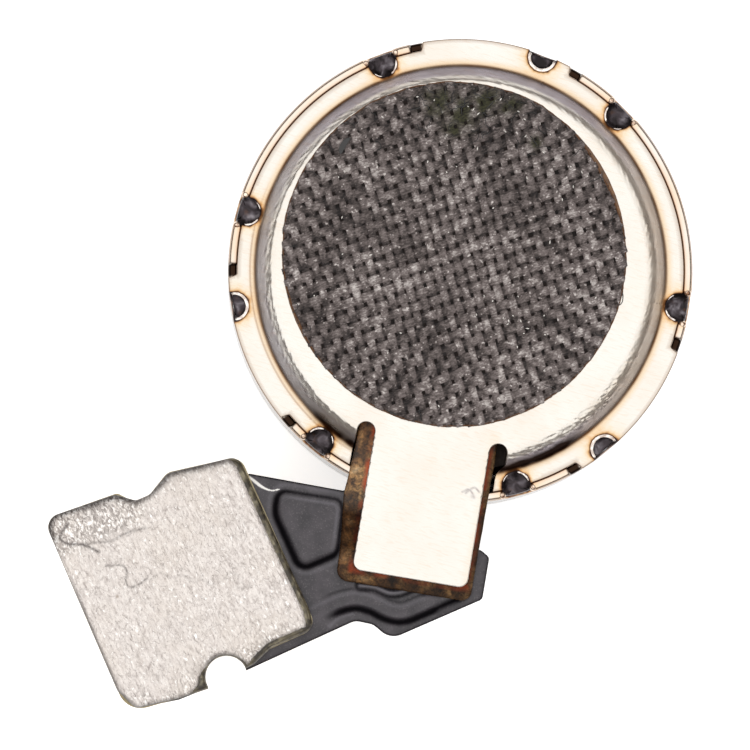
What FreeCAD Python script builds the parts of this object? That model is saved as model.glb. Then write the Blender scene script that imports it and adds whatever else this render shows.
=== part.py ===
"""Round linear vibration motor with a bracket tongue and a flexible contact tail.

All sizes are in millimetres. The origin is the middle of the can's closed base, +Z runs
along the can's axis to the bracket, and -Y is the way the bracket's tongue points.
"""
import FreeCAD, Part
import os
import re
import Sketcher

# Driving dimensions. The heights are measured up from the can's base.
SIZES = {
    # can
    "can_radius": 5.0,
    "can_wall": 0.18,
    "can_floor": 0.20,
    "can_height": 2.70,
    "can_corner": 0.35,
    "rim_rounding": 0.06,
    "notch_half_angle": 21.8,
    # bracket
    "bracket_gauge": 0.20,
    "flange_radius": 4.78,
    "flange_under": 2.48,
    "plateau_under": 2.83,
    "shoulder_foot": 4.44,
    "shoulder_top": 4.09,
    "bend_rounding": 0.08,
    "ear_half_angle": 19.5,
    "ear_inner": 4.60,
    "slot_inner": 1.25,
    "slot_outer": 1.63,
    "slot_end": 3.555,
    "tongue_half": 1.25,
    "tongue_tip": 6.73,
    "tongue_rounding": 0.20,
    # laser welds, placed by angle from the first ear
    "rim_weld_ring": 4.77,
    "rim_weld_radius": 0.29,
    "rim_weld_before": 36.0,
    "rim_weld_after": 30.0,
    "ear_weld_ring": 4.93,
    "ear_weld_radius": 0.30,
    "ear_weld_turn": 11.5,
    "weld_fill": 0.10,
    # cloth tape
    "tape_radius": 3.73,
    "tape_left": 0.20,
    "tape_back": 0.31,
    "tape_glue": 0.04,
    "tape_cloth": 0.08,
    # coil flex and coil
    "flex_gauge": 0.10,
    "flex_disc": 2.60,
    "flex_left": 1.55,
    "flex_right": 1.38,
    "flex_tip": 7.00,
    "flex_rounding": 0.30,
    "copper_pad_gauge": 0.02,
    "coil_inner": 1.50,
    "coil_outer": 2.00,
    "coil_length": 1.18,
    "lead_radius": 0.025,
    "lead_reach": 0.60,
    # spring
    "spring_gauge": 0.12,
    "spring_outer": 4.58,
    "spring_outer_bore": 4.15,
    "spring_collar": 2.20,
    "spring_bore": 1.50,
    "spring_rise": 0.55,
    "arm_middle": 3.15,
    "arm_shift": 0.85,
    "arm_width": 0.40,
    "spring_weld_radius": 0.11,
    # moving mass
    "yoke_radius": 2.30,
    "yoke_wall": 0.20,
    "yoke_back": 0.25,
    "yoke_top": 2.25,
    "magnet_radius": 1.30,
    "magnet_length": 0.90,
    "pole_length": 0.30,
    "weight_radius": 4.40,
    "weight_under": 0.95,
    "weight_top": 2.08,
    "weight_chamfer": 0.12,
    # dampers
    "floor_damper_radius": 1.30,
    "floor_damper_gauge": 0.20,
    "lid_damper_inner": 2.95,
    "lid_damper_outer": 3.80,
    "lid_damper_gauge": 0.20,
    "lid_damper_gap": 3.60,
    # contact tail, in its own axes: turned about +Z, with its origin in the middle of the pad
    "tail_turn": 33.0,
    "tail_across": -4.85,
    "tail_along": -7.55,
    "tail_under": 2.56,
    "tail_film": 0.06,
    "tail_cover": 0.06,
    "tail_copper": 0.02,
    "crease_start": 2.35,
    "crease_end": 2.85,
    "pad_left": 2.18,
    "pad_right": 2.28,
    "pad_back": 2.36,
    "pad_front": 2.33,
    "notch_across": 0.08,
    "notch_radius": 0.45,
    "track_width": 0.36,
    "pad_glue": 0.04,
    "pad_plate": 0.26,
    "pad_film": 0.06,
    "contact_width": 1.60,
    "contact_length": 3.10,
    "contact_gap": 0.50,
    "contact_gauge": 0.03,
}

doc = FreeCAD.newDocument("VibrationMotor")
nodes = []


# ---------------------------------------------------------------- building helpers

def write_sheet():
    """Keep every driving dimension in the document's sheet, each under its own name."""
    sheet = doc.addObject("Spreadsheet::Sheet", "Sizes")
    for row, (name, value) in enumerate(SIZES.items(), start=1):
        sheet.set(f"A{row}", name)
        sheet.set(f"B{row}", str(value))
        sheet.setAlias(f"B{row}", name)
    doc.recompute()
    return sheet


def formula(text):
    """A formula in which every name with an underscore is a cell of the sheet."""
    return re.sub(r"[a-z]+(_[a-z]+)+", r"Sizes.\g<0>", text)


def value_of(text):
    """The number that a formula gives with the sheet's present values."""
    return float(sheet.evalExpression(formula(text)))


def bind(thing, **properties):
    """Bind properties to formulas; a double underscore stands for a dot in the path."""
    for path, text in properties.items():
        thing.setExpression(path.replace("__", "."), formula(text))


def place(thing, across="0", along="0", up="0"):
    bind(thing, Placement__Base__x=across, Placement__Base__y=along, Placement__Base__z=up)


def keep(thing, label):
    """Name a finished piece, so that it is written out under that name."""
    thing.Label = label
    nodes.append(thing)
    return thing


def make_body(name):
    return doc.addObject("PartDesign::Body", name + "_body")


def make_sketch(body, name, role, height=None):
    sketch = body.newObject("Sketcher::SketchObject", f"{body.Name}_{name}")
    plane = next(item for item in body.Origin.OriginFeatures if item.Role == role)
    sketch.AttachmentSupport = [(plane, "")]
    sketch.MapMode = "FlatFace"
    if height:
        bind(sketch, AttachmentOffset__Base__z=height)
    return sketch


def hold_point(sketch, edge, end, across, up):
    """Hold one point of a sketch at two formulas, measured from the sketch's origin."""
    for kind, text in (("DistanceX", across), ("DistanceY", up)):
        rule = Sketcher.Constraint(kind, -1, 1, edge, end, value_of(text))
        index = sketch.addConstraint(rule)
        bind(sketch, **{f"Constraints[{index}]": text})


def add_outline(sketch, corners):
    """Add a closed outline of straight edges; each corner is a pair of formulas."""
    first = sketch.GeometryCount
    points = [FreeCAD.Vector(value_of(x), value_of(y), 0) for x, y in corners]
    for start, end in zip(points, points[1:] + points[:1]):
        sketch.addGeometry(Part.LineSegment(start, end), False)
    count = len(corners)
    for step in range(count):
        following = first + (step + 1) % count
        sketch.addConstraint(Sketcher.Constraint("Coincident", first + step, 2, following, 1))
    for step, (x, y) in enumerate(corners):
        hold_point(sketch, first + step, 1, x, y)


def add_circle(sketch, across, up, radius):
    centre = FreeCAD.Vector(value_of(across), value_of(up), 0)
    normal = FreeCAD.Vector(0, 0, 1)
    edge = sketch.addGeometry(Part.Circle(centre, normal, value_of(radius)), False)
    hold_point(sketch, edge, 3, across, up)
    index = sketch.addConstraint(Sketcher.Constraint("Radius", edge, value_of(radius)))
    bind(sketch, **{f"Constraints[{index}]": radius})


def outline(body, name, corners, height=None, role="XY_Plane"):
    sketch = make_sketch(body, name, role, height)
    add_outline(sketch, corners)
    return sketch


def circles(body, name, places, height=None):
    sketch = make_sketch(body, name, "XY_Plane", height)
    for across, up, radius in places:
        add_circle(sketch, across, up, radius)
    return sketch


def add_feature(body, kind, name, sketch, **sizes):
    feature = body.newObject("PartDesign::" + kind, f"{body.Name}_{name}")
    feature.Profile = sketch
    bind(feature, **sizes)
    doc.recompute()
    return feature


def pad(body, name, sketch, length):
    return add_feature(body, "Pad", name, sketch, Length=length)


def pocket(body, name, sketch, depth):
    """Cut down from a sketch, and check that the cut took material away."""
    before = body.Shape.Volume
    feature = add_feature(body, "Pocket", name, sketch, Length=depth)
    if body.Shape.Volume >= before:
        raise RuntimeError(f"{name} cut nothing")
    return feature


def revolve(body, name, corners, turn="360", role="XZ_Plane"):
    """Turn an outline about +Z; its corners are radius and height."""
    sketch = outline(body, name + "_profile", corners, role=role)
    feature = body.newObject("PartDesign::Revolution", f"{body.Name}_{name}")
    feature.Profile = sketch
    feature.ReferenceAxis = (sketch, ["V_Axis"])
    feature.Midplane = turn != "360"
    bind(feature, Angle=turn)
    doc.recompute()
    return feature


def three_times(body, name, feature, sketch):
    """Repeat a feature three times round +Z."""
    pattern = body.newObject("PartDesign::PolarPattern", f"{body.Name}_{name}")
    pattern.Originals = [feature]
    pattern.Axis = (sketch, ["N_Axis"])
    pattern.Angle = 360
    pattern.Occurrences = 3
    body.Tip = pattern
    doc.recompute()
    return pattern


def round_edges(body, name, wanted, radius):
    """Round those edges of the body's last feature that the test picks out."""
    base = body.Tip
    names = [f"Edge{i}" for i, edge in enumerate(base.Shape.Edges, start=1) if wanted(edge)]
    if not names:
        raise RuntimeError(f"{name} found no edge")
    fillet = body.newObject("PartDesign::Fillet", f"{body.Name}_{name}")
    fillet.Base = (base, names)
    bind(fillet, Radius=radius)
    body.Tip = fillet
    doc.recompute()
    return fillet


def upright_at(corners):
    """A test for the upright edges over these corners."""
    points = [(value_of(x), value_of(y)) for x, y in corners]

    def wanted(edge):
        ends = [vertex.Point for vertex in edge.Vertexes]
        if len(ends) != 2 or abs(ends[0].z - ends[1].z) < 0.01:
            return False
        middle = (ends[0] + ends[1]) * 0.5
        near = any(abs(middle.x - x) + abs(middle.y - y) < 0.01 for x, y in points)
        return near and abs(ends[0].x - ends[1].x) + abs(ends[0].y - ends[1].y) < 0.01

    return wanted


def ring_at(radius, height):
    """A test for the round edges of this radius about +Z, at this height."""
    def wanted(edge):
        curve = edge.Curve
        if not hasattr(curve, "Radius"):
            return False
        level = abs(edge.BoundBox.ZMin - value_of(height)) < 0.001
        return level and abs(curve.Radius - value_of(radius)) < 0.001

    return wanted


def cylinder(name, radius, height, across="0", along="0", up="0"):
    solid = doc.addObject("Part::Cylinder", name)
    bind(solid, Radius=radius, Height=height)
    place(solid, across, along, up)
    return solid


def box(name, size, corner):
    solid = doc.addObject("Part::Box", name)
    bind(solid, Length=size[0], Width=size[1], Height=size[2])
    place(solid, *corner)
    return solid


def cut(name, base, tool):
    result = doc.addObject("Part::Cut", name)
    result.Base = base
    result.Tool = tool
    return result


def common(name, base, tool):
    result = doc.addObject("Part::Common", name)
    result.Base = base
    result.Tool = tool
    return result


def fuse(name, pieces):
    result = doc.addObject("Part::MultiFuse", name)
    result.Shapes = pieces
    return result


def group(name, pieces):
    """One node of several separate solids."""
    result = doc.addObject("Part::Compound", name)
    result.Links = pieces
    return result


def ring(name, outer, inner, height, up):
    around = cylinder(name + "_outside", outer, height, up=up)
    through = cylinder(name + "_inside", inner, height, up=up)
    return cut(name, around, through)


# ---------------------------------------------------------------- welds

def weld_places():
    """Angle, ring and radius of the three welds that belong to the first ear."""
    return [
        ("90 - ear_weld_turn", "ear_weld_ring", "ear_weld_radius"),
        ("90 - rim_weld_before", "rim_weld_ring", "rim_weld_radius"),
        ("90 + rim_weld_after", "rim_weld_ring", "rim_weld_radius"),
    ]


def cut_weld_pits(body, places):
    """Cut the welds' pits down to the flange's underside."""
    spots = [(f"{rad}*cos({turn})", f"{rad}*sin({turn})", size) for turn, rad, size in places]
    sketch = circles(body, "pit_places", spots, "can_height")
    pits = pocket(body, "pits", sketch, "can_height - flange_under")
    three_times(body, "all_pits", pits, sketch)


def build_weld_beads():
    """Nine beads that fill the floors of the pits, trimmed to the can's outside."""
    beads = []
    for ear in range(3):
        for turn, rad, size in weld_places():
            angle = f"({turn} + {120 * ear})"
            name = f"bead_{len(beads) + 1}"
            across = f"{rad}*cos({angle})"
            along = f"{rad}*sin({angle})"
            beads.append(cylinder(name, size, "weld_fill", across, along, "flange_under"))
    outside = cylinder("bead_limit", "can_radius", "can_height")
    keep(common("weld_beads", group("all_beads", beads), outside), "weld_beads")


# ---------------------------------------------------------------- can and bracket

def build_can():
    """Deep-drawn cup with a rounded base corner, three rim notches and weld pits."""
    body = make_body("can")
    inside = "can_radius - can_wall"
    revolve(body, "cup", [
        ("0", "0"),
        ("can_radius", "0"),
        ("can_radius", "can_height"),
        (inside, "can_height"),
        (inside, "can_floor"),
        ("0", "can_floor"),
    ])
    round_edges(body, "outer_corner", ring_at("can_radius", "0"), "can_corner")
    round_edges(body, "inner_corner", ring_at(inside, "can_floor"), "can_corner - can_wall")
    round_edges(body, "rim_outside", ring_at("can_radius", "can_height"), "rim_rounding")
    near = "0.9*can_radius"
    far = "1.1*can_radius"
    side = "sin(notch_half_angle)"
    ahead = "cos(notch_half_angle)"
    sketch = outline(body, "notch_outline", [
        (f"-{near}*{side}", f"{near}*{ahead}"),
        (f"{near}*{side}", f"{near}*{ahead}"),
        (f"{far}*{side}", f"{far}*{ahead}"),
        (f"-{far}*{side}", f"{far}*{ahead}"),
    ], "can_height")
    notch = pocket(body, "notch", sketch, "can_height - flange_under")
    three_times(body, "notches", notch, sketch)
    cut_weld_pits(body, weld_places()[1:])
    keep(body, "can")


def build_bracket():
    """Stamped lid: flange, sloping shoulder, raised plateau, three ears and a tongue."""
    body = make_body("bracket")
    flange_top = "flange_under + bracket_gauge"
    plateau_top = "plateau_under + bracket_gauge"
    # a sheet's inner bend line lies tan(22.5 degrees) of its gauge inside the outer one
    inset = "0.414*bracket_gauge"
    revolve(body, "dish", [
        ("0", "plateau_under"),
        (f"shoulder_top - {inset}", "plateau_under"),
        (f"shoulder_foot - {inset}", "flange_under"),
        ("flange_radius", "flange_under"),
        ("flange_radius", flange_top),
        ("shoulder_foot", flange_top),
        ("shoulder_top", plateau_top),
        ("0", plateau_top),
    ])
    round_edges(body, "top_bend", ring_at("shoulder_top", plateau_top), "bend_rounding")
    round_edges(body, "foot_bend", ring_at("shoulder_foot", flange_top), "bend_rounding")
    ear = revolve(body, "ear", [
        ("ear_inner", "flange_under"),
        ("can_radius", "flange_under"),
        ("can_radius", flange_top),
        ("ear_inner", flange_top),
    ], "2*ear_half_angle", "YZ_Plane")
    face = circles(body, "axis", [("0", "0", "can_radius")])
    three_times(body, "ears", ear, face)

    deep = "1.06*can_radius"
    slots = make_sketch(body, "slot_outlines", "XY_Plane", "can_height + can_wall*2")
    for side in ("", "-"):
        add_outline(slots, [
            (f"{side}slot_inner", "-slot_end"),
            (f"{side}slot_outer", "-slot_end"),
            (f"{side}slot_outer", f"-{deep}"),
            (f"{side}slot_inner", f"-{deep}"),
        ])
    pocket(body, "slots", slots, "can_height")
    window = outline(body, "window_outline", [
        ("-slot_outer + 0.1", "-shoulder_top + 0.34"),
        ("slot_outer - 0.1", "-shoulder_top + 0.34"),
        ("slot_outer - 0.1", f"-{deep}"),
        ("-slot_outer + 0.1", f"-{deep}"),
    ], plateau_top)
    pocket(body, "window", window, "can_height")
    tongue = outline(body, "tongue_outline", [
        ("-tongue_half", "-slot_end"),
        ("tongue_half", "-slot_end"),
        ("tongue_half", "-tongue_tip"),
        ("-tongue_half", "-tongue_tip"),
    ], "plateau_under")
    pad(body, "tongue", tongue, "bracket_gauge")
    tips = [("-tongue_half", "-tongue_tip"), ("tongue_half", "-tongue_tip")]
    round_edges(body, "tongue_corners", upright_at(tips), "tongue_rounding")
    ends = [(f"{side}{edge}", "-slot_end") for side in ("", "-")
            for edge in ("slot_inner", "slot_outer")]
    round_edges(body, "slot_ends", upright_at(ends), "0.49*(slot_outer - slot_inner)")
    cut_weld_pits(body, weld_places())
    keep(body, "bracket")


def build_tape():
    """Woven disc and its layer of glue on the plateau."""
    top = "plateau_under + bracket_gauge"
    places = ("-tape_left", "tape_back")
    glue = cylinder("tape_adhesive", "tape_radius - 0.03", "tape_glue", *places, up=top)
    keep(glue, "tape_adhesive")
    above = top + " + tape_glue"
    keep(cylinder("cloth_tape", "tape_radius", "tape_cloth", *places, up=above), "cloth_tape")


# ---------------------------------------------------------------- coil side

def build_coil_flex():
    """Polyimide disc under the plateau, with a strip that runs out under the tongue."""
    body = make_body("coil_flex")
    under = "plateau_under - flex_gauge"
    disc = circles(body, "disc_outline", [("0", "0", "flex_disc")], under)
    pad(body, "disc", disc, "flex_gauge")
    strip = outline(body, "strip_outline", [
        ("-flex_left", "-1"),
        ("flex_right", "-1"),
        ("flex_right", "-flex_tip"),
        ("-flex_left", "-flex_tip"),
    ], under)
    pad(body, "strip", strip, "flex_gauge")
    tips = [("-flex_left", "-flex_tip"), ("flex_right", "-flex_tip")]
    round_edges(body, "tip_corners", upright_at(tips), "flex_rounding")
    keep(body, "coil_flex")


def joint_places():
    """Where the coil flex is soldered to the tail: two spots under the tongue."""
    return [("-0.80", "-6.00"), ("0.60", "-6.30")]


def build_coil_side():
    """Coil, its two leads and the copper and solder that carry its current."""
    flex_under = "plateau_under - flex_gauge"
    pad_under = flex_under + " - copper_pad_gauge"
    coil_foot = flex_under + " - coil_length"
    keep(ring("voice_coil", "coil_outer", "coil_inner", "coil_length", coil_foot), "voice_coil")

    pads = []
    leads = []
    blobs = []
    for side, name in (("-", "left"), ("", "right")):
        middle = f"{side}lead_reach"
        size = ("0.5", "0.45", "copper_pad_gauge")
        corner = (f"{middle} - 0.25", "-coil_outer - 0.62", pad_under)
        pads.append(box(f"{name}_inner_pad", size, corner))
        lead = cylinder(f"{name}_lead", "lead_radius", "0.24", middle, "-coil_outer + 0.04",
                        pad_under + " - lead_radius")
        lead.Placement.Rotation = FreeCAD.Rotation(FreeCAD.Vector(1, 0, 0), 90)
        place(lead, middle, "-coil_outer + 0.04", pad_under + " - lead_radius")
        leads.append(lead)
        blob = doc.addObject("Part::Cone", f"{name}_lead_solder")
        bind(blob, Radius1="0.10", Radius2="0.17", Height="0.06")
        place(blob, middle, "-coil_outer - 0.38", pad_under + " - 0.06")
        blobs.append(blob)
    for index, (across, along) in enumerate(joint_places()):
        size = ("0.6", "0.5", "copper_pad_gauge")
        corner = (f"{across} - 0.3", f"{along} - 0.25", pad_under)
        pads.append(box(f"outer_pad_{index + 1}", size, corner))
    keep(group("coil_flex_pads", pads), "coil_flex_pads")
    keep(group("coil_leads", leads), "coil_leads")
    keep(group("lead_solder", blobs), "lead_solder")


def build_dampers():
    """Foam stops: a disc on the can's floor and a ring, open at the flex, under the lid."""
    disc = cylinder("floor_damper", "floor_damper_radius", "floor_damper_gauge", up="can_floor")
    keep(disc, "floor_damper")
    under = "plateau_under - lid_damper_gauge"
    foam = ring("damper_ring", "lid_damper_outer", "lid_damper_inner", "lid_damper_gauge", under)
    size = ("lid_damper_gap", "lid_damper_outer", "lid_damper_gauge")
    gap = box("damper_gap", size, ("-lid_damper_gap/2", "-lid_damper_outer", under))
    keep(cut("bracket_damper", foam, gap), "bracket_damper")


# ---------------------------------------------------------------- spring and moving mass

def build_spring():
    """Flat steel spring pressed into a low cone: two rings joined by three curved arms."""
    body = make_body("spring_blank")
    low = "can_floor"
    high = "can_floor + spring_rise"
    revolve(body, "formed_sheet", [
        ("spring_bore", high),
        ("spring_collar", high),
        ("spring_outer_bore", low),
        ("spring_outer", low),
        ("spring_outer", low + " + spring_gauge"),
        ("spring_outer_bore", low + " + spring_gauge"),
        ("spring_collar", high + " + spring_gauge"),
        ("spring_bore", high + " + spring_gauge"),
    ])
    tall = "can_height"
    pieces = [
        ring("spring_rim", "spring_outer", "spring_outer_bore", tall, "0"),
        ring("spring_hub", "spring_collar", "spring_bore", tall, "0"),
    ]
    for arm in range(3):
        turn = 120 * arm
        across = f"arm_shift*cos({turn})"
        along = f"arm_shift*sin({turn})"
        name = f"arm_{arm + 1}"
        outside = cylinder(name + "_outside", "arm_middle + arm_width/2", tall, across, along)
        inside = cylinder(name + "_inside", "arm_middle - arm_width/2", tall, across, along)
        band = cut(name + "_band", outside, inside)
        # the half of the band on the left of the arm's own line through the axis
        half = doc.addObject("Part::Box", name + "_half")
        half.Placement.Rotation = FreeCAD.Rotation(FreeCAD.Vector(0, 0, 1), turn)
        bind(half, Length="2*can_radius", Width="can_radius", Height=tall)
        place(half, f"-can_radius*cos({turn})", f"-can_radius*sin({turn})")
        pieces.append(common(name, band, half))
    keep(common("spring", body, fuse("spring_plan", pieces)), "spring")

    spots = []
    for index in range(3):
        turn = 120 * index + 60
        middle = "(spring_outer + spring_outer_bore)/2"
        spots.append(cylinder(f"spring_weld_{index + 1}", "spring_weld_radius", "0.02",
                              f"{middle}*cos({turn})", f"{middle}*sin({turn})",
                              "can_floor + spring_gauge"))
    keep(group("spring_welds", spots), "spring_welds")


def build_moving_mass():
    """Cup yoke, disc magnet, pole plate and the heavy ring round them."""
    foot = "can_floor + spring_rise + spring_gauge"
    body = make_body("yoke")
    revolve(body, "cup", [
        ("0", foot),
        ("yoke_radius", foot),
        ("yoke_radius", "yoke_top"),
        ("yoke_radius - yoke_wall", "yoke_top"),
        ("yoke_radius - yoke_wall", foot + " + yoke_back"),
        ("0", foot + " + yoke_back"),
    ])
    keep(body, "yoke")
    seat = foot + " + yoke_back"
    keep(cylinder("magnet", "magnet_radius", "magnet_length", up=seat), "magnet")
    above = seat + " + magnet_length"
    keep(cylinder("pole_plate", "magnet_radius", "pole_length", up=above), "pole_plate")

    weight = make_body("tungsten_weight")
    revolve(weight, "ring", [
        ("yoke_radius", "weight_under"),
        ("weight_radius - weight_chamfer", "weight_under"),
        ("weight_radius", "weight_under + weight_chamfer"),
        ("weight_radius", "weight_top - weight_chamfer"),
        ("weight_radius - weight_chamfer", "weight_top"),
        ("yoke_radius", "weight_top"),
    ])
    keep(weight, "tungsten_weight")


# ---------------------------------------------------------------- contact tail

def in_tail_axes(thing, up="0"):
    """Turn a piece into the tail's own axes."""
    thing.Placement.Rotation = FreeCAD.Rotation(FreeCAD.Vector(0, 0, 1), 0)
    bind(thing, Placement__Rotation__Angle="tail_turn")
    place(thing, "tail_across", "tail_along", up)


def tail_outline():
    """Corners of the flexible tail, from the pad's back edge round by the tongue."""
    return [
        ("-pad_left", "pad_back - 0.50"),
        ("pad_right", "pad_back - 0.87"),
        ("pad_right + 1.72", "0.34"),
        ("pad_right + 1.91", "0.54"),
        ("pad_right + 2.02", "0.10"),
        ("pad_right + 3.32", "-0.84"),
        ("pad_right + 3.55", "-1.76"),
        ("pad_right + 3.90", "-1.99"),
        ("pad_right + 4.01", "-2.21"),
        ("pad_right + 3.51", "-2.97"),
        ("pad_right + 1.32", "-3.00"),
        ("pad_right + 1.08", "-pad_front"),
        ("pad_right + 0.84", "-pad_front + 0.02"),
        ("notch_across + notch_radius", "-pad_front - 0.03"),
        ("notch_across - notch_radius", "-pad_front - 0.05"),
        ("-1.05", "-pad_front - 0.03"),
        ("-pad_left - 0.03", "-pad_front + 0.13"),
    ]


def pad_outline():
    """Corners of the pad, with the shallow dip in its back edge."""
    return [
        ("-pad_left", "pad_back"),
        ("-0.50", "pad_back - 0.12"),
        ("-0.24", "pad_back - 0.44"),
        ("0.10", "pad_back - 0.44"),
        ("0.66", "pad_back - 0.14"),
        ("pad_right - 0.04", "pad_back - 0.44"),
        ("pad_right", "-pad_front + 0.20"),
        ("1.15", "-pad_front + 0.19"),
        ("0.72", "-pad_front + 0.03"),
        ("-0.36", "-pad_front - 0.01"),
        ("-1.05", "-pad_front"),
        ("-pad_left", "-pad_front + 0.15"),
    ]


def cut_front_notch(body, top):
    """Cut the half-round notch in the pad's front edge."""
    spot = [("notch_across", "-pad_front + 0.03", "notch_radius")]
    pocket(body, "front_notch", circles(body, "front_notch_outline", spot, top), "can_wall*3")


def tail_sheet(name, height, gauge):
    """One full sheet of the tail, before it is split at the crease."""
    body = make_body(name)
    corners = tail_outline()
    pad(body, "sheet", outline(body, "sheet_outline", corners, height), gauge)
    soft = [(corners[0], "0.30"), (corners[10], "0.25"), (corners[11], "0.15"),
            (corners[16], "0.50"), (corners[8], "0.10")]
    for index, (corner, radius) in enumerate(soft, start=1):
        round_edges(body, f"corner_{index}", upright_at([corner]), radius)
    cut_front_notch(body, f"{height} + {gauge}")
    return body


def add_tracks(body, height):
    """Copper in the tail: a waved track, a straight track and one wide island."""
    half = "track_width/2"
    middle = "(pad_front - 0.51)"
    # the track's end under the pad is set back, clear of the front notch
    waved = outline(body, "waved_outline", [
        ("-1.60", f"-{middle} + {half} + 0.29"),
        ("0.80", f"-{middle} + {half} + 0.29"),
        ("1.20", f"-{middle} + {half}"),
        ("pad_right + 1.00", f"-{middle} + {half}"),
        ("pad_right + 1.70", f"-{middle} - 0.55"),
        ("5.00", f"-{middle} - 0.55"),
        ("5.00", "-1.70"),
        ("5.50", "-1.70"),
        ("5.50", f"-{middle} - 0.91"),
        ("pad_right + 1.56", f"-{middle} - 0.91"),
        ("pad_right + 0.92", f"-{middle} - {half}"),
        ("1.10", f"-{middle} - {half}"),
        ("0.70", f"-{middle} - {half} + 0.29"),
        ("-1.60", f"-{middle} - {half} + 0.29"),
    ], height)
    pad(body, "waved", waved, "tail_copper")
    straight = outline(body, "straight_outline", [
        ("0.90", "-1.27"),
        ("4.50", "-1.27"),
        ("4.50", "-0.65"),
        ("4.00", "-0.65"),
        ("4.00", "-1.13"),
        ("0.90", "-1.13"),
    ], height)
    pad(body, "straight", straight, "tail_copper")
    island = outline(body, "island_outline", [
        ("pad_right + 0.32", "0.80"),
        ("pad_right + 1.54", "0.08"),
        ("pad_right + 0.98", "-0.80"),
        ("pad_right + 0.40", "-0.90"),
        ("pad_right + 0.20", "-0.72"),
    ], height)
    pad(body, "island", island, "tail_copper")


def split_at_crease(whole, label):
    """Split a sheet into the part by the can, the crease and the part under the pad."""
    zones = {
        "root": ("crease_end", "8 - crease_end"),
        "bend": ("crease_start", "crease_end - crease_start"),
        "end": ("-5", "crease_start + 5"),
    }
    for zone, (start, length) in zones.items():
        slab = doc.addObject("Part::Box", f"{label}_{zone}_slab")
        bind(slab, Length=length, Width="10", Height="can_height*2")
        in_tail_axes(slab)
        place(slab, f"tail_across + ({start})*cos(tail_turn) + 5*sin(tail_turn)",
              f"tail_along + ({start})*sin(tail_turn) - 5*cos(tail_turn)")
        keep(common(f"{label}_{zone}", whole, slab), f"{label}_{zone}")


def build_tail():
    """Base film, copper and cover film of the tail, each split at the crease."""
    copper_foot = "tail_under + tail_film"
    film = tail_sheet("tail_film_blank", "tail_under", "tail_film")
    in_tail_axes(film)
    tracks = make_body("tail_track_blank")
    add_tracks(tracks, copper_foot)
    in_tail_axes(tracks)
    solid_cover = tail_sheet("tail_cover_blank", copper_foot, "tail_cover")
    in_tail_axes(solid_cover)
    cover = cut("tail_cover_sheet", solid_cover, tracks)
    doc.recompute()
    split_at_crease(film, "tail_film")
    split_at_crease(tracks, "tail_copper")
    split_at_crease(cover, "tail_cover")

    top = "tail_under + tail_film + tail_cover"
    gap = f"plateau_under - flex_gauge - copper_pad_gauge - ({top})"
    joints = []
    for index, (across, along) in enumerate(joint_places()):
        name = f"tail_solder_{index + 1}"
        joints.append(cylinder(name, "0.2", gap, across, along, top))
    keep(group("tail_solder", joints), "tail_solder")


def build_pad():
    """The stiffened pad's layers above the tail and its two contacts below."""
    under = "tail_under + tail_film + tail_cover"
    layers = [
        ("stiffener_adhesive", under, "pad_glue"),
        ("stiffener_plate", f"{under} + pad_glue", "pad_plate"),
        ("stiffener_film", f"{under} + pad_glue + pad_plate", "pad_film"),
    ]
    for label, height, gauge in layers:
        body = make_body(label)
        corners = pad_outline()
        pad(body, "layer", outline(body, "layer_outline", corners, height), gauge)
        soft = [(corners[0], "0.42"), (corners[1], "0.14"), (corners[2], "0.14"),
                (corners[3], "0.30"), (corners[4], "0.30"), (corners[5], "0.32"),
                (corners[6], "0.30"), (corners[11], "0.50")]
        for index, (corner, radius) in enumerate(soft, start=1):
            round_edges(body, f"corner_{index}", upright_at([corner]), radius)
        cut_front_notch(body, f"{height} + {gauge}")
        in_tail_axes(body)
        keep(body, label)

    contacts = []
    for side, name in ((-1, "left"), (1, "right")):
        middle = f"{side}*(contact_width + contact_gap)/2"
        contact = doc.addObject("Part::Box", f"{name}_contact")
        bind(contact, Length="contact_width", Width="contact_length", Height="contact_gauge")
        in_tail_axes(contact)
        low_x = f"({middle} - contact_width/2)"
        low_y = "(-contact_length/2 - 0.1)"
        place(contact, f"tail_across + {low_x}*cos(tail_turn) - {low_y}*sin(tail_turn)",
              f"tail_along + {low_x}*sin(tail_turn) + {low_y}*cos(tail_turn)",
              "tail_under - contact_gauge")
        contacts.append(contact)
    keep(group("contact_pads", contacts), "contact_pads")


# ---------------------------------------------------------------- check and write

def check_and_write():
    doc.recompute()
    for thing in doc.Objects:
        if {"Invalid", "Error"} & set(thing.State):
            raise RuntimeError(f"{thing.Label} failed: {thing.State}")
    for node in nodes:
        shape = node.Shape
        if shape.isNull() or not shape.isValid() or not shape.Solids:
            raise RuntimeError(f"{node.Label} has no sound shape")
    os.makedirs("parts", exist_ok=True)
    for node in nodes:
        node.Shape.exportStep(f"parts/{node.Label}.step")
        print(f"{node.Label}: {len(node.Shape.Solids)} solid(s), {node.Shape.Volume:.4f} mm3")


sheet = write_sheet()
build_can()
build_bracket()
build_weld_beads()
build_tape()
build_coil_flex()
build_coil_side()
build_dampers()
build_spring()
build_moving_mass()
build_tail()
build_pad()
check_and_write()
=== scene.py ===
import math
import random

import bmesh
import bpy
import numpy as np
from mathutils import Matrix, Vector, geometry, kdtree, noise


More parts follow.
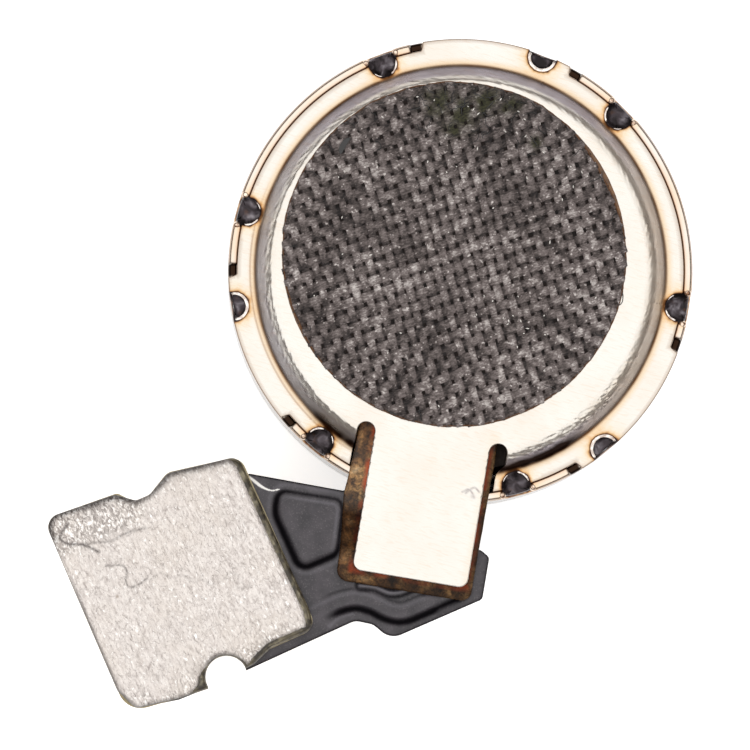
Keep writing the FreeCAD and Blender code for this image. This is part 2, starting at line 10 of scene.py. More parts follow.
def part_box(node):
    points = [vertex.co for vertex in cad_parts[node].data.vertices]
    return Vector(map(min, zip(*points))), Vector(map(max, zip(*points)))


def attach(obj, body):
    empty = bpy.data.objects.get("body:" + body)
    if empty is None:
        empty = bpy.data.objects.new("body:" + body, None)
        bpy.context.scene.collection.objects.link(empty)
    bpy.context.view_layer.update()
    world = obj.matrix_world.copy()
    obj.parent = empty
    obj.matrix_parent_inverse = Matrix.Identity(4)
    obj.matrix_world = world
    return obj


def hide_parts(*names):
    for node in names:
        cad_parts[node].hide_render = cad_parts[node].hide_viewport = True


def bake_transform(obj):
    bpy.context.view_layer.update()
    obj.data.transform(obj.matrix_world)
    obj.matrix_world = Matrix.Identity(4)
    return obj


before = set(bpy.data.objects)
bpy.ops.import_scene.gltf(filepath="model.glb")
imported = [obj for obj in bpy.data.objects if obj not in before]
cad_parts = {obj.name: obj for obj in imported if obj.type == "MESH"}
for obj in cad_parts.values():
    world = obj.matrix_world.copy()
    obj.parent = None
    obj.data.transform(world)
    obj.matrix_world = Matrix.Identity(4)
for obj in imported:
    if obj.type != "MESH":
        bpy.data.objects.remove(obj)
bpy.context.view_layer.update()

# Lengths are in millimetres and angles in degrees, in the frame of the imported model.
MM = 0.001
random.seed(7)


# ---------------------------------------------------------------- sizes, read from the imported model

def corners_of(node):
    """Lowest and highest corner of a node."""
    low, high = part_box(node)
    return np.array(low) / MM, np.array(high) / MM


CAN_RADIUS, _, RIM_TOP = corners_of("can")[1]
BRACKET_LOW, BRACKET_HIGH = corners_of("bracket")
CLOTH_LOW, CLOTH_HIGH = corners_of("cloth_tape")
FLEX_LOW, FLEX_HIGH = corners_of("coil_flex")
BOARD_LOW, BOARD_HIGH = corners_of("stiffener_plate")
TAIL_UNDER = corners_of("tail_film_end")[0][2]
COVER_TOP = corners_of("tail_cover_end")[1][2]
FOIL_TOP = corners_of("stiffener_film")[1][2]
COPPER_UNDER, COPPER_TOP = (corner[2] for corner in corners_of("tail_copper_bend"))

# the can: thickness of its wall, radius of its lower corner, top of its floor inside
WALL = 0.18
CORNER = 0.35
FLOOR = 0.20

# the bracket: its heights, the radii of its flange and slope, its tongue and slots
GAUGE = 0.20
FLANGE_UNDER = BRACKET_LOW[2]
FLANGE_TOP = FLANGE_UNDER + GAUGE
PLATEAU = BRACKET_HIGH[2]
FLANGE_RADIUS = 4.815
SHOULDER_TOP = 4.09
SHOULDER_FOOT = 4.44
TONGUE_HALF = 1.25
TONGUE_TIP = -BRACKET_LOW[1]
TONGUE_ROOT = -3.4
TONGUE_CORNER = 0.20
SLOT_OUTER = 1.63
SLOT_NARROW = 1.455
SLOT_END = 3.555

# the ears' angles, half the angle of an ear and of the notch that it sits in
EARS = (90.0, 210.0, 330.0)
EAR_HALF = 19.5
NOTCH_HALF = 21.8

# each weld: angle, distance of its middle from the axis, radius
RIM_WELDS = [(turn, 4.77, 0.29) for ear in EARS for turn in (ear - 36, ear + 30)]
EAR_WELDS = [(ear - 11.5, 4.93, 0.30) for ear in EARS]
WELDS = RIM_WELDS + EAR_WELDS
POOL_DEPTH = 0.115

# the cloth: each family of threads has its angle and its pitch; sizes as shares of the pitch
CLOTH_MIDDLE = (CLOTH_LOW[:2] + CLOTH_HIGH[:2]) / 2
CLOTH_RADIUS = (CLOTH_HIGH[0] - CLOTH_LOW[0]) / 2
CLOTH_TOP = CLOTH_HIGH[2]
WEFT = (28.3, 0.274)
WARP = (115.6, 0.226)
THREAD_HALF = 0.372
THREAD_RISE = 0.018

# the tail's own axes, with their origin in the middle of the pad
TAIL_TURN = 33.0
TAIL_ORIGIN = np.array((-4.85, -7.55))


# ---------------------------------------------------------------- plane geometry

def polar(radius, turn):
    """Points at these distances and angles from the axis."""
    angle = np.radians(turn)
    return np.column_stack([radius * np.cos(angle), radius * np.sin(angle)])


def arc(centre, radius, start, end, spacing):
    """Points along an arc."""
    count = max(3, int(abs(math.radians(end - start)) * radius / spacing) + 2)
    return np.array(centre) + polar(radius, np.linspace(start, end, count))


def spread(points, spacing, closed=True):
    """The same line with no two neighbours further apart than the spacing."""
    points = np.asarray(points, float)
    ends = np.roll(points, -1, axis=0) if closed else points[1:]
    result = []
    for start, end in zip(points, ends):
        steps = max(1, math.ceil(np.linalg.norm(end - start) / spacing))
        if np.linalg.norm(end - start) > 1e-6:
            result += [start + (end - start) * step / steps for step in range(steps)]
    if not closed:
        result.append(points[-1])
    return np.array(result)


def rounded(corners, spacing):
    """A closed outline through corners of across, along and radius, with arcs at the corners."""
    points = []
    places = np.array([corner[:2] for corner in corners], float)
    for index, here in enumerate(places):
        radius = corners[index][2]
        back = places[index - 1] - here
        ahead = places[(index + 1) % len(places)] - here
        back /= np.linalg.norm(back)
        ahead /= np.linalg.norm(ahead)
        half = 0.5 * math.acos(np.clip(back @ ahead, -1, 1))
        middle = back + ahead
        centre = here + middle / np.linalg.norm(middle) * radius / math.sin(half)
        first = here + back * radius / math.tan(half) - centre
        last = here + ahead * radius / math.tan(half) - centre
        start = turn_of(first)
        sweep = turn_of(last) - start
        sweep = (sweep + 180) % 360 - 180
        points.append(arc(centre, radius, start, start + sweep, spacing))
    return spread(np.concatenate(points), spacing)


def smooth_line(points, spans=8):
    """A smooth open curve through the points."""
    points = np.asarray(points, float)
    padded = np.vstack([2 * points[0] - points[1], points, 2 * points[-1] - points[-2]])
    result = []
    for a, b, c, d in zip(padded, padded[1:], padded[2:], padded[3:]):
        for step in np.linspace(0, 1, spans, endpoint=False):
            result.append(0.5 * (2 * b + (c - a) * step + (2 * a - 5 * b + 4 * c - d) * step ** 2
                                 + (3 * b - a - 3 * c + d) * step ** 3))
    result.append(points[-1])
    return np.array(result)


def distance_to(places, line, closed=False):
    """Distance from each place to a line of closely spaced points."""
    line = np.asarray(line, float)
    tree = kdtree.KDTree(len(line))
    for index, (x, y) in enumerate(line):
        tree.insert((x, y, 0), index)
    tree.balance()
    nearest = np.array([tree.find((x, y, 0))[1] for x, y in places[:, :2].tolist()])
    gaps = []
    for first in (nearest - 1, nearest):
        if not closed:
            first = np.clip(first, 0, len(line) - 2)
        start = line[first]
        along = line[(first + 1) % len(line)] - start
        offset = places[:, :2] - start
        share = (offset * along).sum(1) / np.maximum((along ** 2).sum(1), 1e-12)
        offset = offset - np.clip(share, 0, 1)[:, None] * along
        gaps.append(lengths(offset))
    return np.minimum(*gaps)


def inside(places, outline):
    """Which places lie inside a closed outline."""
    x, y = places[:, 0], places[:, 1]
    result = np.zeros(len(places), bool)
    for (x1, y1), (x2, y2) in zip(outline, np.roll(outline, -1, axis=0)):
        if y1 != y2:
            crosses = ((y1 > y) != (y2 > y)) & (x < (x2 - x1) * (y - y1) / (y2 - y1) + x1)
            result ^= crosses
    return result


def lattice(low, high, step, jitter=0.0):
    """Evenly spaced places over a rectangle, each moved a little at random."""
    x, y = np.meshgrid(np.arange(low[0], high[0], step), np.arange(low[1], high[1], step))
    places = np.column_stack([x.ravel(), y.ravel()])
    moves = np.array([[random.uniform(-jitter, jitter) for _ in range(2)] for _ in places])
    return places + moves


def from_tail(points):
    """Turn points from the tail's own axes into the part's."""
    angle = math.radians(TAIL_TURN)
    result = np.array(points, float)
    across, along = result[:, 0].copy(), result[:, 1].copy()
    result[:, 0] = TAIL_ORIGIN[0] + across * math.cos(angle) - along * math.sin(angle)
    result[:, 1] = TAIL_ORIGIN[1] + across * math.sin(angle) + along * math.cos(angle)
    return result


def field(places, size, seed=0.0):
    """Smooth noise between about -1 and 1 at each place, with features of this size."""
    return np.array([noise.noise(Vector((x / size, y / size, seed))) for x, y in places[:, :2]])


def clipped(share):
    """A number, kept between 0 and 1."""
    return min(1.0, max(0.0, share))


def step_up(value, low, high):
    """0 below low, 1 above high and a smooth step between."""
    share = np.clip((np.asarray(value, float) - low) / (high - low), 0, 1)
    return share * share * (3 - 2 * share)


def step_down(value, low, high):
    """1 below low, 0 above high and a smooth step between."""
    return 1 - step_up(value, low, high)


def between(value, low, full, end, high):
    """0 below low and above high, 1 from full to end, and a smooth step on either side."""
    return step_up(value, low, full) * step_down(value, end, high)


def bell(gap, width):
    """1 where the gap is 0, and a smooth fall on either side of it."""
    return np.exp(-(gap / width) ** 2)


def drawn(places, lines):
    """How strongly lines, each of points, strength and width, mark each place."""
    return np.maximum.reduce([strength * bell(distance_to(places, line), width)
                              for line, strength, width in lines])


def lengths(vectors):
    """Length of each row."""
    return np.linalg.norm(vectors, axis=1)


def unit(vectors):
    """The same directions, each of length 1."""
    return vectors / lengths(vectors)[:, None]


def leftward(ways):
    """The directions a quarter turn to the left of these."""
    return np.column_stack([-ways[:, 1], ways[:, 0]])


def turn_of(place):
    """Angle of a place about the axis."""
    return math.degrees(math.atan2(place[1], place[0]))


def around_axis(places):
    """Distance and angle of each place from the axis."""
    return lengths(places), np.degrees(np.arctan2(places[:, 1], places[:, 0]))


def facing(turn, centre):
    """1 for angles that face this way, -1 for those that face away."""
    return np.cos(np.radians(turn - centre))


def level_at(height):
    """A flat face for a pressed sheet."""
    return lambda places: np.full(len(places), height)


# ---------------------------------------------------------------- meshes

def add_object(name, data):
    """A new object in the scene."""
    added = bpy.data.objects.new(name, data)
    bpy.context.scene.collection.objects.link(added)
    return added


def make_piece(name, points, faces, finish, body, slot, sharp=40, marks=None, blend=False):
    """Make a mesh piece that rides on a body. Marks are named values, one for each point."""
    mesh = bpy.data.meshes.new(name)
    mesh.from_pydata((np.asarray(points) * MM).tolist(), [], faces)
    mesh.update()
    mesh.shade_smooth()
    mesh.set_sharp_from_angle(angle=math.radians(sharp))
    for mark, values in (marks or {}).items():
        attribute = mesh.attributes.new(mark, "FLOAT", "POINT")
        attribute.data.foreach_set("value", np.asarray(values, np.float32))
    mesh.materials.append(finish)
    piece = add_object(name, mesh)
    if blend:
        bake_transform(piece)
    else:
        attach(piece, body)
    return piece


def strip_faces(rows, columns):
    """Four-sided faces between rows of points, which close on themselves."""
    faces = []
    for row in range(rows - 1):
        for column in range(columns):
            here = row * columns + column
            beside = row * columns + (column + 1) % columns
            faces.append((here, here + columns, beside + columns, beside))
    return faces


def pressed_sheet(outline, inner, top, gauge, edge, steps=4, under=None):
    """Points, faces and plan of a sheet with rounded edges; top gives its upper face's height."""
    inward = leftward(unit(np.roll(outline, -1, axis=0) - outline))
    inward = unit(inward + np.roll(inward, 1, axis=0))
    rings = []
    for angle in np.radians(np.linspace(0, 90, steps + 1)[1:]):
        offset = edge * (1 - math.cos(angle))
        ring = outline + inward * offset
        rings.append(ring[distance_to(ring, outline, closed=True) > offset * 0.97])
    inner = inner[inside(inner, outline)]
    inner = inner[distance_to(inner, outline, closed=True) > edge * 1.3 + 0.004]
    count = len(outline)
    borders = [(index, (index + 1) % count) for index in range(count)]
    places = [Vector(place) for place in np.concatenate([outline] + rings + [inner])]
    found = geometry.delaunay_2d_cdt(places, borders, [], 1, 1e-6)
    plan = np.array(found[0])
    if not np.allclose(plan[:count], outline, atol=1e-5):
        raise RuntimeError("a sheet's outline meets itself")
    triangles = np.array(found[2])
    share = np.clip(1 - distance_to(plan, outline, closed=True) / edge, 0, 1)
    share[:count] = 1
    drop = edge * (1 - np.sqrt(1 - share ** 2))
    upper = top(plan)
    lower = upper - gauge if under is None else under(plan)
    total = len(plan)
    points = np.vstack([np.column_stack([plan, upper - drop]),
                        np.column_stack([plan, lower + drop])])
    faces = triangles.tolist()
    faces += (triangles[:, ::-1] + total).tolist()
    for index in range(count):
        beside = (index + 1) % count
        faces.append((beside, index, index + total, beside + total))
    return points, faces, np.vstack([plan, plan])


def tube(line, radius, sides=8, flat=1.0):
    """Points and faces of a closed tube along a line; radius may be one number per point."""
    line = np.asarray(line, float)
    radius = np.broadcast_to(radius, len(line))
    ahead = unit(np.gradient(line, axis=0))
    side = np.cross(ahead, (0, 0, 1))
    side /= np.maximum(lengths(side), 1e-9)[:, None]
    up = np.cross(side, ahead)
    points = []
    for turn in np.radians(np.arange(sides) * 360 / sides):
        points.append(line + side * (radius * math.cos(turn))[:, None]
                      + up * (radius * flat * math.sin(turn))[:, None])
    points = np.stack(points, axis=1).reshape(-1, 3)
    faces = strip_faces(len(line), sides)
    faces.append(tuple(range(sides))[::-1])
    faces.append(tuple(range((len(line) - 1) * sides, len(line) * sides)))
    return points, faces


def joined(parts):
    """Several meshes, each of points and faces, as one."""
    points, faces, start = [], [], 0
    for part_points, part_faces in parts:
        points.append(part_points)
        faces += [tuple(index + start for index in face) for face in part_faces]
        start += len(part_points)
    return np.concatenate(points), faces


# ---------------------------------------------------------------- materials

def srgb(red, green, blue):
    """A colour from its usual 0 to 255 values."""
    def linear(value):
        share = value / 255
        return share / 12.92 if share <= 0.04045 else ((share + 0.055) / 1.055) ** 2.4
    return linear(red), linear(green), linear(blue), 1.0


def fill_ramp(node, stops):
    """Set a ramp node's stops; each is a position and a colour."""
    elements = node.color_ramp.elements
    while len(elements) < len(stops):
        elements.new(0.5)
    for element, (position, colour) in zip(elements, stops):
        element.position = position
        element.color = colour


class Finish:
    """A procedural material. Its textures are laid out in millimetres."""

    def __init__(self, name, colour, metallic, roughness, **sockets):
        self.material = bpy.data.materials.new(name)
        self.material.use_nodes = True
        self.tree = self.material.node_tree
        self.shader = self.tree.nodes["Principled BSDF"]
        self.set("Base Color", colour)
        self.set("Metallic", metallic)
        self.set("Roughness", roughness)
        for socket, value in sockets.items():
            self.set(socket.replace("_", " "), value)

    def set(self, socket, value):
        """Give one of the shader's sockets a value or a link."""
        self.feed(self.shader.inputs[socket], value)

    def feed(self, socket, value):
        """Give a socket a value or a link."""
        if isinstance(value, bpy.types.NodeSocket):
            self.tree.links.new(value, socket)
        else:
            socket.default_value = value

    def add(self, kind, inputs, **settings):
        """A new node with its settings and inputs."""
        node = self.tree.nodes.new("ShaderNode" + kind)
        for name, value in settings.items():
            setattr(node, name, value)
        for name, value in inputs.items():
            self.feed(node.inputs[name], value)
        return node

    def space(self, size, turn=0.0):
        """Places in the part's frame, turned about +Z and measured in this size."""
        sizes = (size,) * 3 if isinstance(size, (int, float)) else size
        place = self.add("TexCoord", {}).outputs["Object"]
        angle = (0, 0, math.radians(turn))
        scale = tuple(length * MM for length in sizes)
        inputs = {"Vector": place, "Rotation": angle, "Scale": scale}
        return self.add("Mapping", inputs, vector_type="TEXTURE").outputs[0]

    def noise(self, size, turn=0.0, detail=2.0, twist=0.0):
        """Soft noise with features of this size, a number or one length per axis."""
        inputs = {"Vector": self.space(size, turn), "Scale": 1.0, "Detail": detail,
                  "Distortion": twist}
        return self.add("TexNoise", inputs).outputs["Fac"]

    def cells(self, size, turn=0.0):
        """Distance from the nearest of many scattered points."""
        inputs = {"Vector": self.space(size, turn), "Scale": 1.0}
        return self.add("TexVoronoi", inputs).outputs["Distance"]

    def axis(self, name, turn=0.0):
        """The place along one axis, in millimetres."""
        split = self.add("SeparateXYZ", {"Vector": self.space(1.0, turn)})
        return split.outputs[name]

    def mark(self, name):
        """A value that the mesh holds for each point."""
        return self.add("Attribute", {}, attribute_name=name).outputs["Fac"]

    def level(self, value, low, high, to_low=0.0, to_high=1.0):
        """A value from low to high, moved to another range and cut off at its ends."""
        inputs = {"Value": value, "From Min": low, "From Max": high,
                  "To Min": to_low, "To Max": to_high}
        return self.add("MapRange", inputs).outputs["Result"]

    def sum(self, operation, first, second=0.0):
        """One step of arithmetic."""
        return self.add("Math", {0: first, 1: second}, operation=operation).outputs[0]

    def plus(self, first, second):
        """Both together."""
        return self.sum("ADD", first, second)

    def times(self, first, second):
        """One scaled by the other."""
        return self.sum("MULTIPLY", first, second)

    def ramp(self, value, *stops):
        """Colour by value; each stop is a position and a colour."""
        node = self.add("ValToRGB", {"Fac": value})
        fill_ramp(node, stops)
        return node.outputs["Color"]

    def mix(self, share, first, second, kind="MIX"):
        """Two colours, mixed or multiplied."""
        inputs = {0: share, 6: first, 7: second}
        return self.add("Mix", inputs, data_type="RGBA", blend_type=kind).outputs[2]

    def stain(self, name, first, tint):
        """A colour, multiplied by a tint where the mesh is marked."""
        return self.mix(self.mark(name), first, tint, "MULTIPLY")

    def cover(self, name, first, second):
        """A colour, and another where the mesh is marked."""
        return self.mix(self.mark(name), first, second)

    def touch(self, first, value, low, high, most, second):
        """A colour, and up to this share of another where the value is nearer to high."""
        return self.mix(self.level(value, low, high, 0.0, most), first, second)

    def roughen(self, value, low, high):
        """A roughness that follows a noise."""
        self.set("Roughness", self.level(value, 0.3, 0.7, low, high))

    def bump(self, height, depth, strength=1.0, after=None):
        """Tilt the surface by a height from 0 to 1 that stands for this depth."""
        inputs = {"Height": height, "Distance": depth * MM, "Strength": strength}
        if after:
            inputs["Normal"] = after
        normal = self.add("Bump", inputs).outputs["Normal"]
        self.set("Normal", normal)
        return normal


def steel_finish(name, light, warm, lines, grain):
    """Bright steel with drawing lines, fine grain, wear and heat colours where it is marked."""
    steel = Finish(name, light, 1.0, 0.2)
    wide = steel.noise(1.3, detail=3)
    clean = steel.mix(steel.level(wide, 0.35, 0.7), light, warm)
    heat = steel.mark("burnt")
    uneven = steel.noise(0.09, detail=3)
    heat = steel.times(heat, steel.level(uneven, 0.3, 0.7, 0.75, 1.3))
    stained = steel.ramp(heat, (0.0, (1, 1, 1, 1)), (0.10, (1.0, 0.90, 0.76, 1)),
                         (0.28, (0.88, 0.60, 0.33, 1)), (0.50, (0.32, 0.17, 0.10, 1)),
                         (0.80, (0.06, 0.045, 0.05, 1)))
    steel.base = steel.mix(1.0, clean, stained, "MULTIPLY")
    steel.set("Base Color", steel.base)
    smear = steel.noise((0.5, 0.5, 0.06), detail=4)
    rough = steel.level(smear, 0.3, 0.75, 0.12, 0.26)
    steel.rough = steel.plus(rough, steel.level(heat, 0.1, 0.7, 0.0, 0.2))
    steel.set("Roughness", steel.rough)
    first = steel.bump(steel.noise(lines, detail=3), 0.003, 0.5)
    steel.bump(steel.noise(grain, detail=2), 0.002, 0.5, after=first)
    return steel


def bracket_finish():
    """The can's steel, pressed, with painted warm reflection and painted shade on slope and edges."""
    steel = steel_finish("bracket_steel_finish", srgb(202, 199, 193), srgb(198, 192, 183),
                         (0.5, 0.035, 0.3), 0.05)
    # painted warm reflection: cream by the bend and on the lit right side
    colour = steel.stain("warm_reflection", steel.base, (0.97, 0.79, 0.58, 1))
    # painted shade on the slope, lighter on its lit right side
    colour = steel.stain("shade", colour, (0.60, 0.57, 0.66, 1))
    grain = steel.noise((0.26, 0.035, 0.3), turn=-8, detail=3, twist=0.4)
    faint = steel.level(grain, 0.52, 0.66, 0.0, 0.45)
    colour = steel.mix(faint, colour, (0.97, 0.86, 0.78, 1), "MULTIPLY")
    colour = steel.stain("scuff", colour, (0.30, 0.26, 0.30, 1))
    # painted shade: brown along the outer edge, at the slope's foot and in a rill
    colour = steel.stain("seam_shade", colour, (0.34, 0.20, 0.11, 1))
    # painted shade, near black, at the slope's foot beside two welds
    steel.set("Base Color", steel.stain("deep_shade", colour, (0.06, 0.035, 0.025, 1)))
    rubbed = steel.level(steel.mark("rubbed"), 0, 1, 0.0, 0.13)
    steel.set("Roughness", steel.plus(steel.rough, rubbed))
    fine = steel.bump(steel.noise(0.05, detail=3), 0.002, 0.5)
    steel.bump(steel.noise((0.3, 0.03, 0.3), detail=3), 0.001, 0.5, after=fine)
    return steel.material


def can_finish():
    """Deep-drawn steel: grey wall, drawing lines, bright rim, painted shade by the rim and in
    notches.
    """
    steel = steel_finish("can_steel_finish", srgb(206, 198, 190), srgb(204, 186, 166),
                         (0.03, 0.03, 1.5), 0.06)
    # painted shade on the rim's outer rounding
    colour = steel.stain("outer", steel.base, (0.52, 0.47, 0.45, 1))
    # painted shade, brown, on the rim's inner face by the gap to the flange
    colour = steel.stain("inner", colour, (0.62, 0.40, 0.24, 1))
    colour = steel.stain("wall", colour, (0.36, 0.385, 0.42, 1))
    # painted shade, near black, on the floor of each notch
    steel.set("Base Color", steel.stain("deep_shade", colour, (0.035, 0.022, 0.016, 1)))
    return steel.material


def weld_finish():
    """Steel that melted and froze: dark oxide skin, glossy, with paler facets and ripples."""
    weld = Finish("weld_pool_finish", (0.1, 0.1, 0.1, 1), 0.85, 0.18)
    patches = weld.noise(0.26, detail=2, twist=0.8)
    dark = weld.ramp(patches, (0.36, srgb(28, 24, 25)), (0.52, srgb(54, 48, 51)),
                     (0.62, srgb(82, 77, 81)), (0.70, srgb(122, 117, 121)))
    rust = weld.noise(0.2, detail=3)
    tint = weld.level(rust, 0.60, 0.80, 0.0, 0.5)
    weld.set("Base Color", weld.mix(tint, dark, srgb(86, 58, 40)))
    weld.roughen(patches, 0.20, 0.38)
    weld.bump(weld.noise(0.09, detail=2, twist=1.0), 0.007, 0.6)
    return weld.material


def lip_finish(name, dark, light):
    """Steel that melted and stayed bright: the raised edges of welds and the rim's beads."""
    lip = Finish(name, light, 1.0, 0.16)
    tone = lip.noise(0.09, detail=3)
    lip.set("Base Color", lip.ramp(tone, (0.35, dark), (0.6, light)))
    lip.roughen(tone, 0.24, 0.10)
    lip.bump(lip.noise(0.03, detail=2), 0.004, 0.5)
    return lip.material


def cloth_finish():
    """Grey filament threads, each a little different, matted and worn, with painted highlights and
    glints.
    """
    cloth = Finish("woven_thread_finish", srgb(80, 76, 74), 0.0, 0.6,
                   Specular_IOR_Level=0.15)
    # painted highlight on the threads' crests, partly wear, and painted shade in their low parts
    crest_highlight = cloth.level(cloth.axis("Z"), CLOTH_TOP - 0.048, CLOTH_TOP - 0.008, -0.10, 0.42)
    fibres = cloth.noise((0.075, 0.035, 0.06), turn=28, detail=4, twist=0.5)
    matted = cloth.noise(0.16, detail=4, twist=0.6)
    patches = cloth.noise(1.1, detail=3)
    tone = cloth.plus(crest_highlight, cloth.level(patches, 0.32, 0.68, 0.0, 0.20))
    tone = cloth.plus(tone, cloth.level(fibres, 0.28, 0.72, -0.20, 0.26))
    tone = cloth.plus(tone, cloth.level(matted, 0.3, 0.7, -0.14, 0.18))
    tone = cloth.plus(tone, cloth.mark("thread"))
    tone = cloth.plus(tone, cloth.level(cloth.axis("X", turn=-35), 0.5, 3.2, 0.0, 0.10))
    # painted glints
    glints = cloth.level(cloth.noise(0.075, detail=1), 0.64, 0.74, 0.0, 0.40)
    tone = cloth.plus(tone, glints)
    grey = cloth.ramp(tone, (0.0, srgb(30, 26, 26)), (0.30, srgb(70, 63, 61)),
                      (0.60, srgb(112, 103, 101)), (1.0, srgb(196, 190, 186)))
    stain = cloth.mark("stain")
    dirt = cloth.ramp(fibres, (0.35, srgb(22, 21, 15)), (0.6, srgb(56, 56, 36)))
    cloth.set("Base Color", cloth.mix(stain, grey, dirt))
    cloth.roughen(fibres, 0.45, 0.7)
    cloth.bump(fibres, 0.007, 0.7)
    return cloth.material


def backing_finish():
    """The tarry glue film that shows between the threads, with lint along its edge."""
    glue = Finish("cloth_backing_finish", srgb(24, 19, 17), 0.0, 0.6, Specular_IOR_Level=0.1)
    mottle = glue.noise(0.15, detail=4)
    base = glue.ramp(mottle, (0.3, srgb(12, 9, 8)), (0.7, srgb(32, 24, 21)))
    lint = glue.times(glue.mark("lint"), glue.level(glue.noise(0.06), 0.35, 0.6))
    base = glue.mix(lint, base, srgb(84, 76, 73))
    glue.set("Base Color", glue.cover("edge", base, srgb(92, 62, 40)))
    glue.roughen(mottle, 0.45, 0.75)
    glue.bump(glue.noise(0.05, detail=3), 0.01, 0.6)
    return glue.material


def glue_finish():
    """The clear brown edge of the glue layer under the cloth."""
    glue = Finish("tape_glue_finish", srgb(92, 62, 36), 0.0, 0.35, Specular_IOR_Level=0.4)
    mottle = glue.noise(0.18, detail=3)
    glue.set("Base Color", glue.ramp(mottle, (0.3, srgb(60, 38, 22)), (0.7, srgb(124, 86, 48))))
    glue.bump(glue.noise(0.06, detail=2), 0.01, 0.5)
    return glue.material


def amber_finish():
    """Polyimide with flux and glue on it: olive and brown, rust red by the tongue, painted light in
    bands.
    """
    amber = Finish("amber_flex_finish", srgb(110, 80, 50), 0.0, 0.32)
    large = amber.noise(0.40, detail=4, twist=0.5)
    small = amber.noise(0.075, detail=4, twist=1.0)
    base = amber.ramp(large, (0.32, srgb(26, 18, 12)), (0.46, srgb(62, 44, 26)),
                      (0.60, srgb(104, 82, 54)), (0.74, srgb(128, 114, 92)))
    specks = amber.ramp(small, (0.34, (0.35, 0.32, 0.28, 1)), (0.52, (0.95, 0.92, 0.88, 1)),
                        (0.72, (2.0, 1.8, 1.6, 1)))
    base = amber.mix(0.9, base, specks, "MULTIPLY")
    side = amber.sum("ABSOLUTE", amber.axis("X"))
    beside = amber.sum("SUBTRACT", side, TONGUE_HALF)
    below = amber.sum("SUBTRACT", amber.times(amber.axis("Y"), -1.0), TONGUE_TIP)
    gap = amber.sum("MAXIMUM", beside, below)
    near = amber.level(gap, 0.02, 0.11, 1.0, 0.0)
    rust = amber.times(near, amber.level(amber.noise(0.30, detail=3), 0.36, 0.62))
    base = amber.mix(rust, base, srgb(128, 54, 24))
    # painted highlights in the pale bands along the strip, with one darker band; they fade towards
    # the right
    along = amber.level(amber.axis("Y"), -7.0, -3.4)
    painted_light_bands = amber.ramp(along, (0.0, (0.8, 0.72, 0.62, 1)), (0.13, (1.3, 1.1, 0.95, 1)),
                       (0.21, (0.40, 0.30, 0.22, 1)), (0.40, (0.36, 0.26, 0.20, 1)),
                       (0.48, (1.9, 1.9, 1.85, 1)), (0.74, (2.1, 1.95, 1.8, 1)),
                       (0.95, (1.2, 0.95, 0.70, 1)))
    painted_light_bands = amber.mix(amber.level(amber.axis("X"), 0.5, -0.5), (0.8, 0.75, 0.68, 1), painted_light_bands)
    base = amber.mix(1.0, base, painted_light_bands, "MULTIPLY")
    amber.set("Specular IOR Level", amber.times(painted_light_bands, 0.14))
    edge = amber.times(amber.mark("edge"), 0.65)
    amber.set("Base Color", amber.mix(edge, base, srgb(44, 28, 14)))
    amber.roughen(small, 0.18, 0.45)
    amber.bump(small, 0.014, 0.8)
    return amber.material


def black_film_finish():
    """Black cover film with a violet cast: satin, scuffed, with painted shade in grooves and light on
    crests.
    """
    film = Finish("black_film_finish", srgb(44, 41, 46), 0.0, 0.38)
    tone = film.noise(0.35, detail=5)
    base = film.ramp(tone, (0.3, srgb(36, 33, 38)), (0.7, srgb(64, 59, 64)))
    dust = film.noise(0.035, detail=3)
    base = film.touch(base, dust, 0.56, 0.76, 0.45, srgb(112, 106, 108))
    # painted highlights on the emboss's crests
    base = film.cover("crest_highlight", base, srgb(126, 122, 130))
    # painted shade, near black, in the grooves and along the edge
    base = film.cover("groove_shade", base, srgb(12, 11, 13))
    film.set("Base Color", film.cover("bright_line", base, srgb(236, 234, 230)))
    film.set("Specular IOR Level", film.level(film.mark("groove_shade"), 0.1, 0.8, 0.42, 0.0))
    film.roughen(film.noise(0.25, detail=4), 0.26, 0.42)
    film.bump(film.noise(0.04, detail=3), 0.003, 0.6)
    return film.material


def board_finish():
    """Khaki glass-fibre board, seen at its edges."""
    board = Finish("stiffener_board_finish", srgb(142, 124, 84), 0.0, 0.45)
    layers = board.noise((0.3, 0.3, 0.025), turn=TAIL_TURN, detail=3)
    base = board.ramp(layers, (0.3, srgb(46, 40, 28)), (0.5, srgb(92, 84, 64)),
                      (0.72, srgb(150, 142, 120)))
    dirt = board.noise(0.16, detail=4)
    base = board.touch(base, dirt, 0.42, 0.62, 0.9, srgb(34, 27, 19))
    board.set("Base Color", base)
    board.bump(board.noise(0.03, detail=3), 0.010, 0.8)
    return board.material


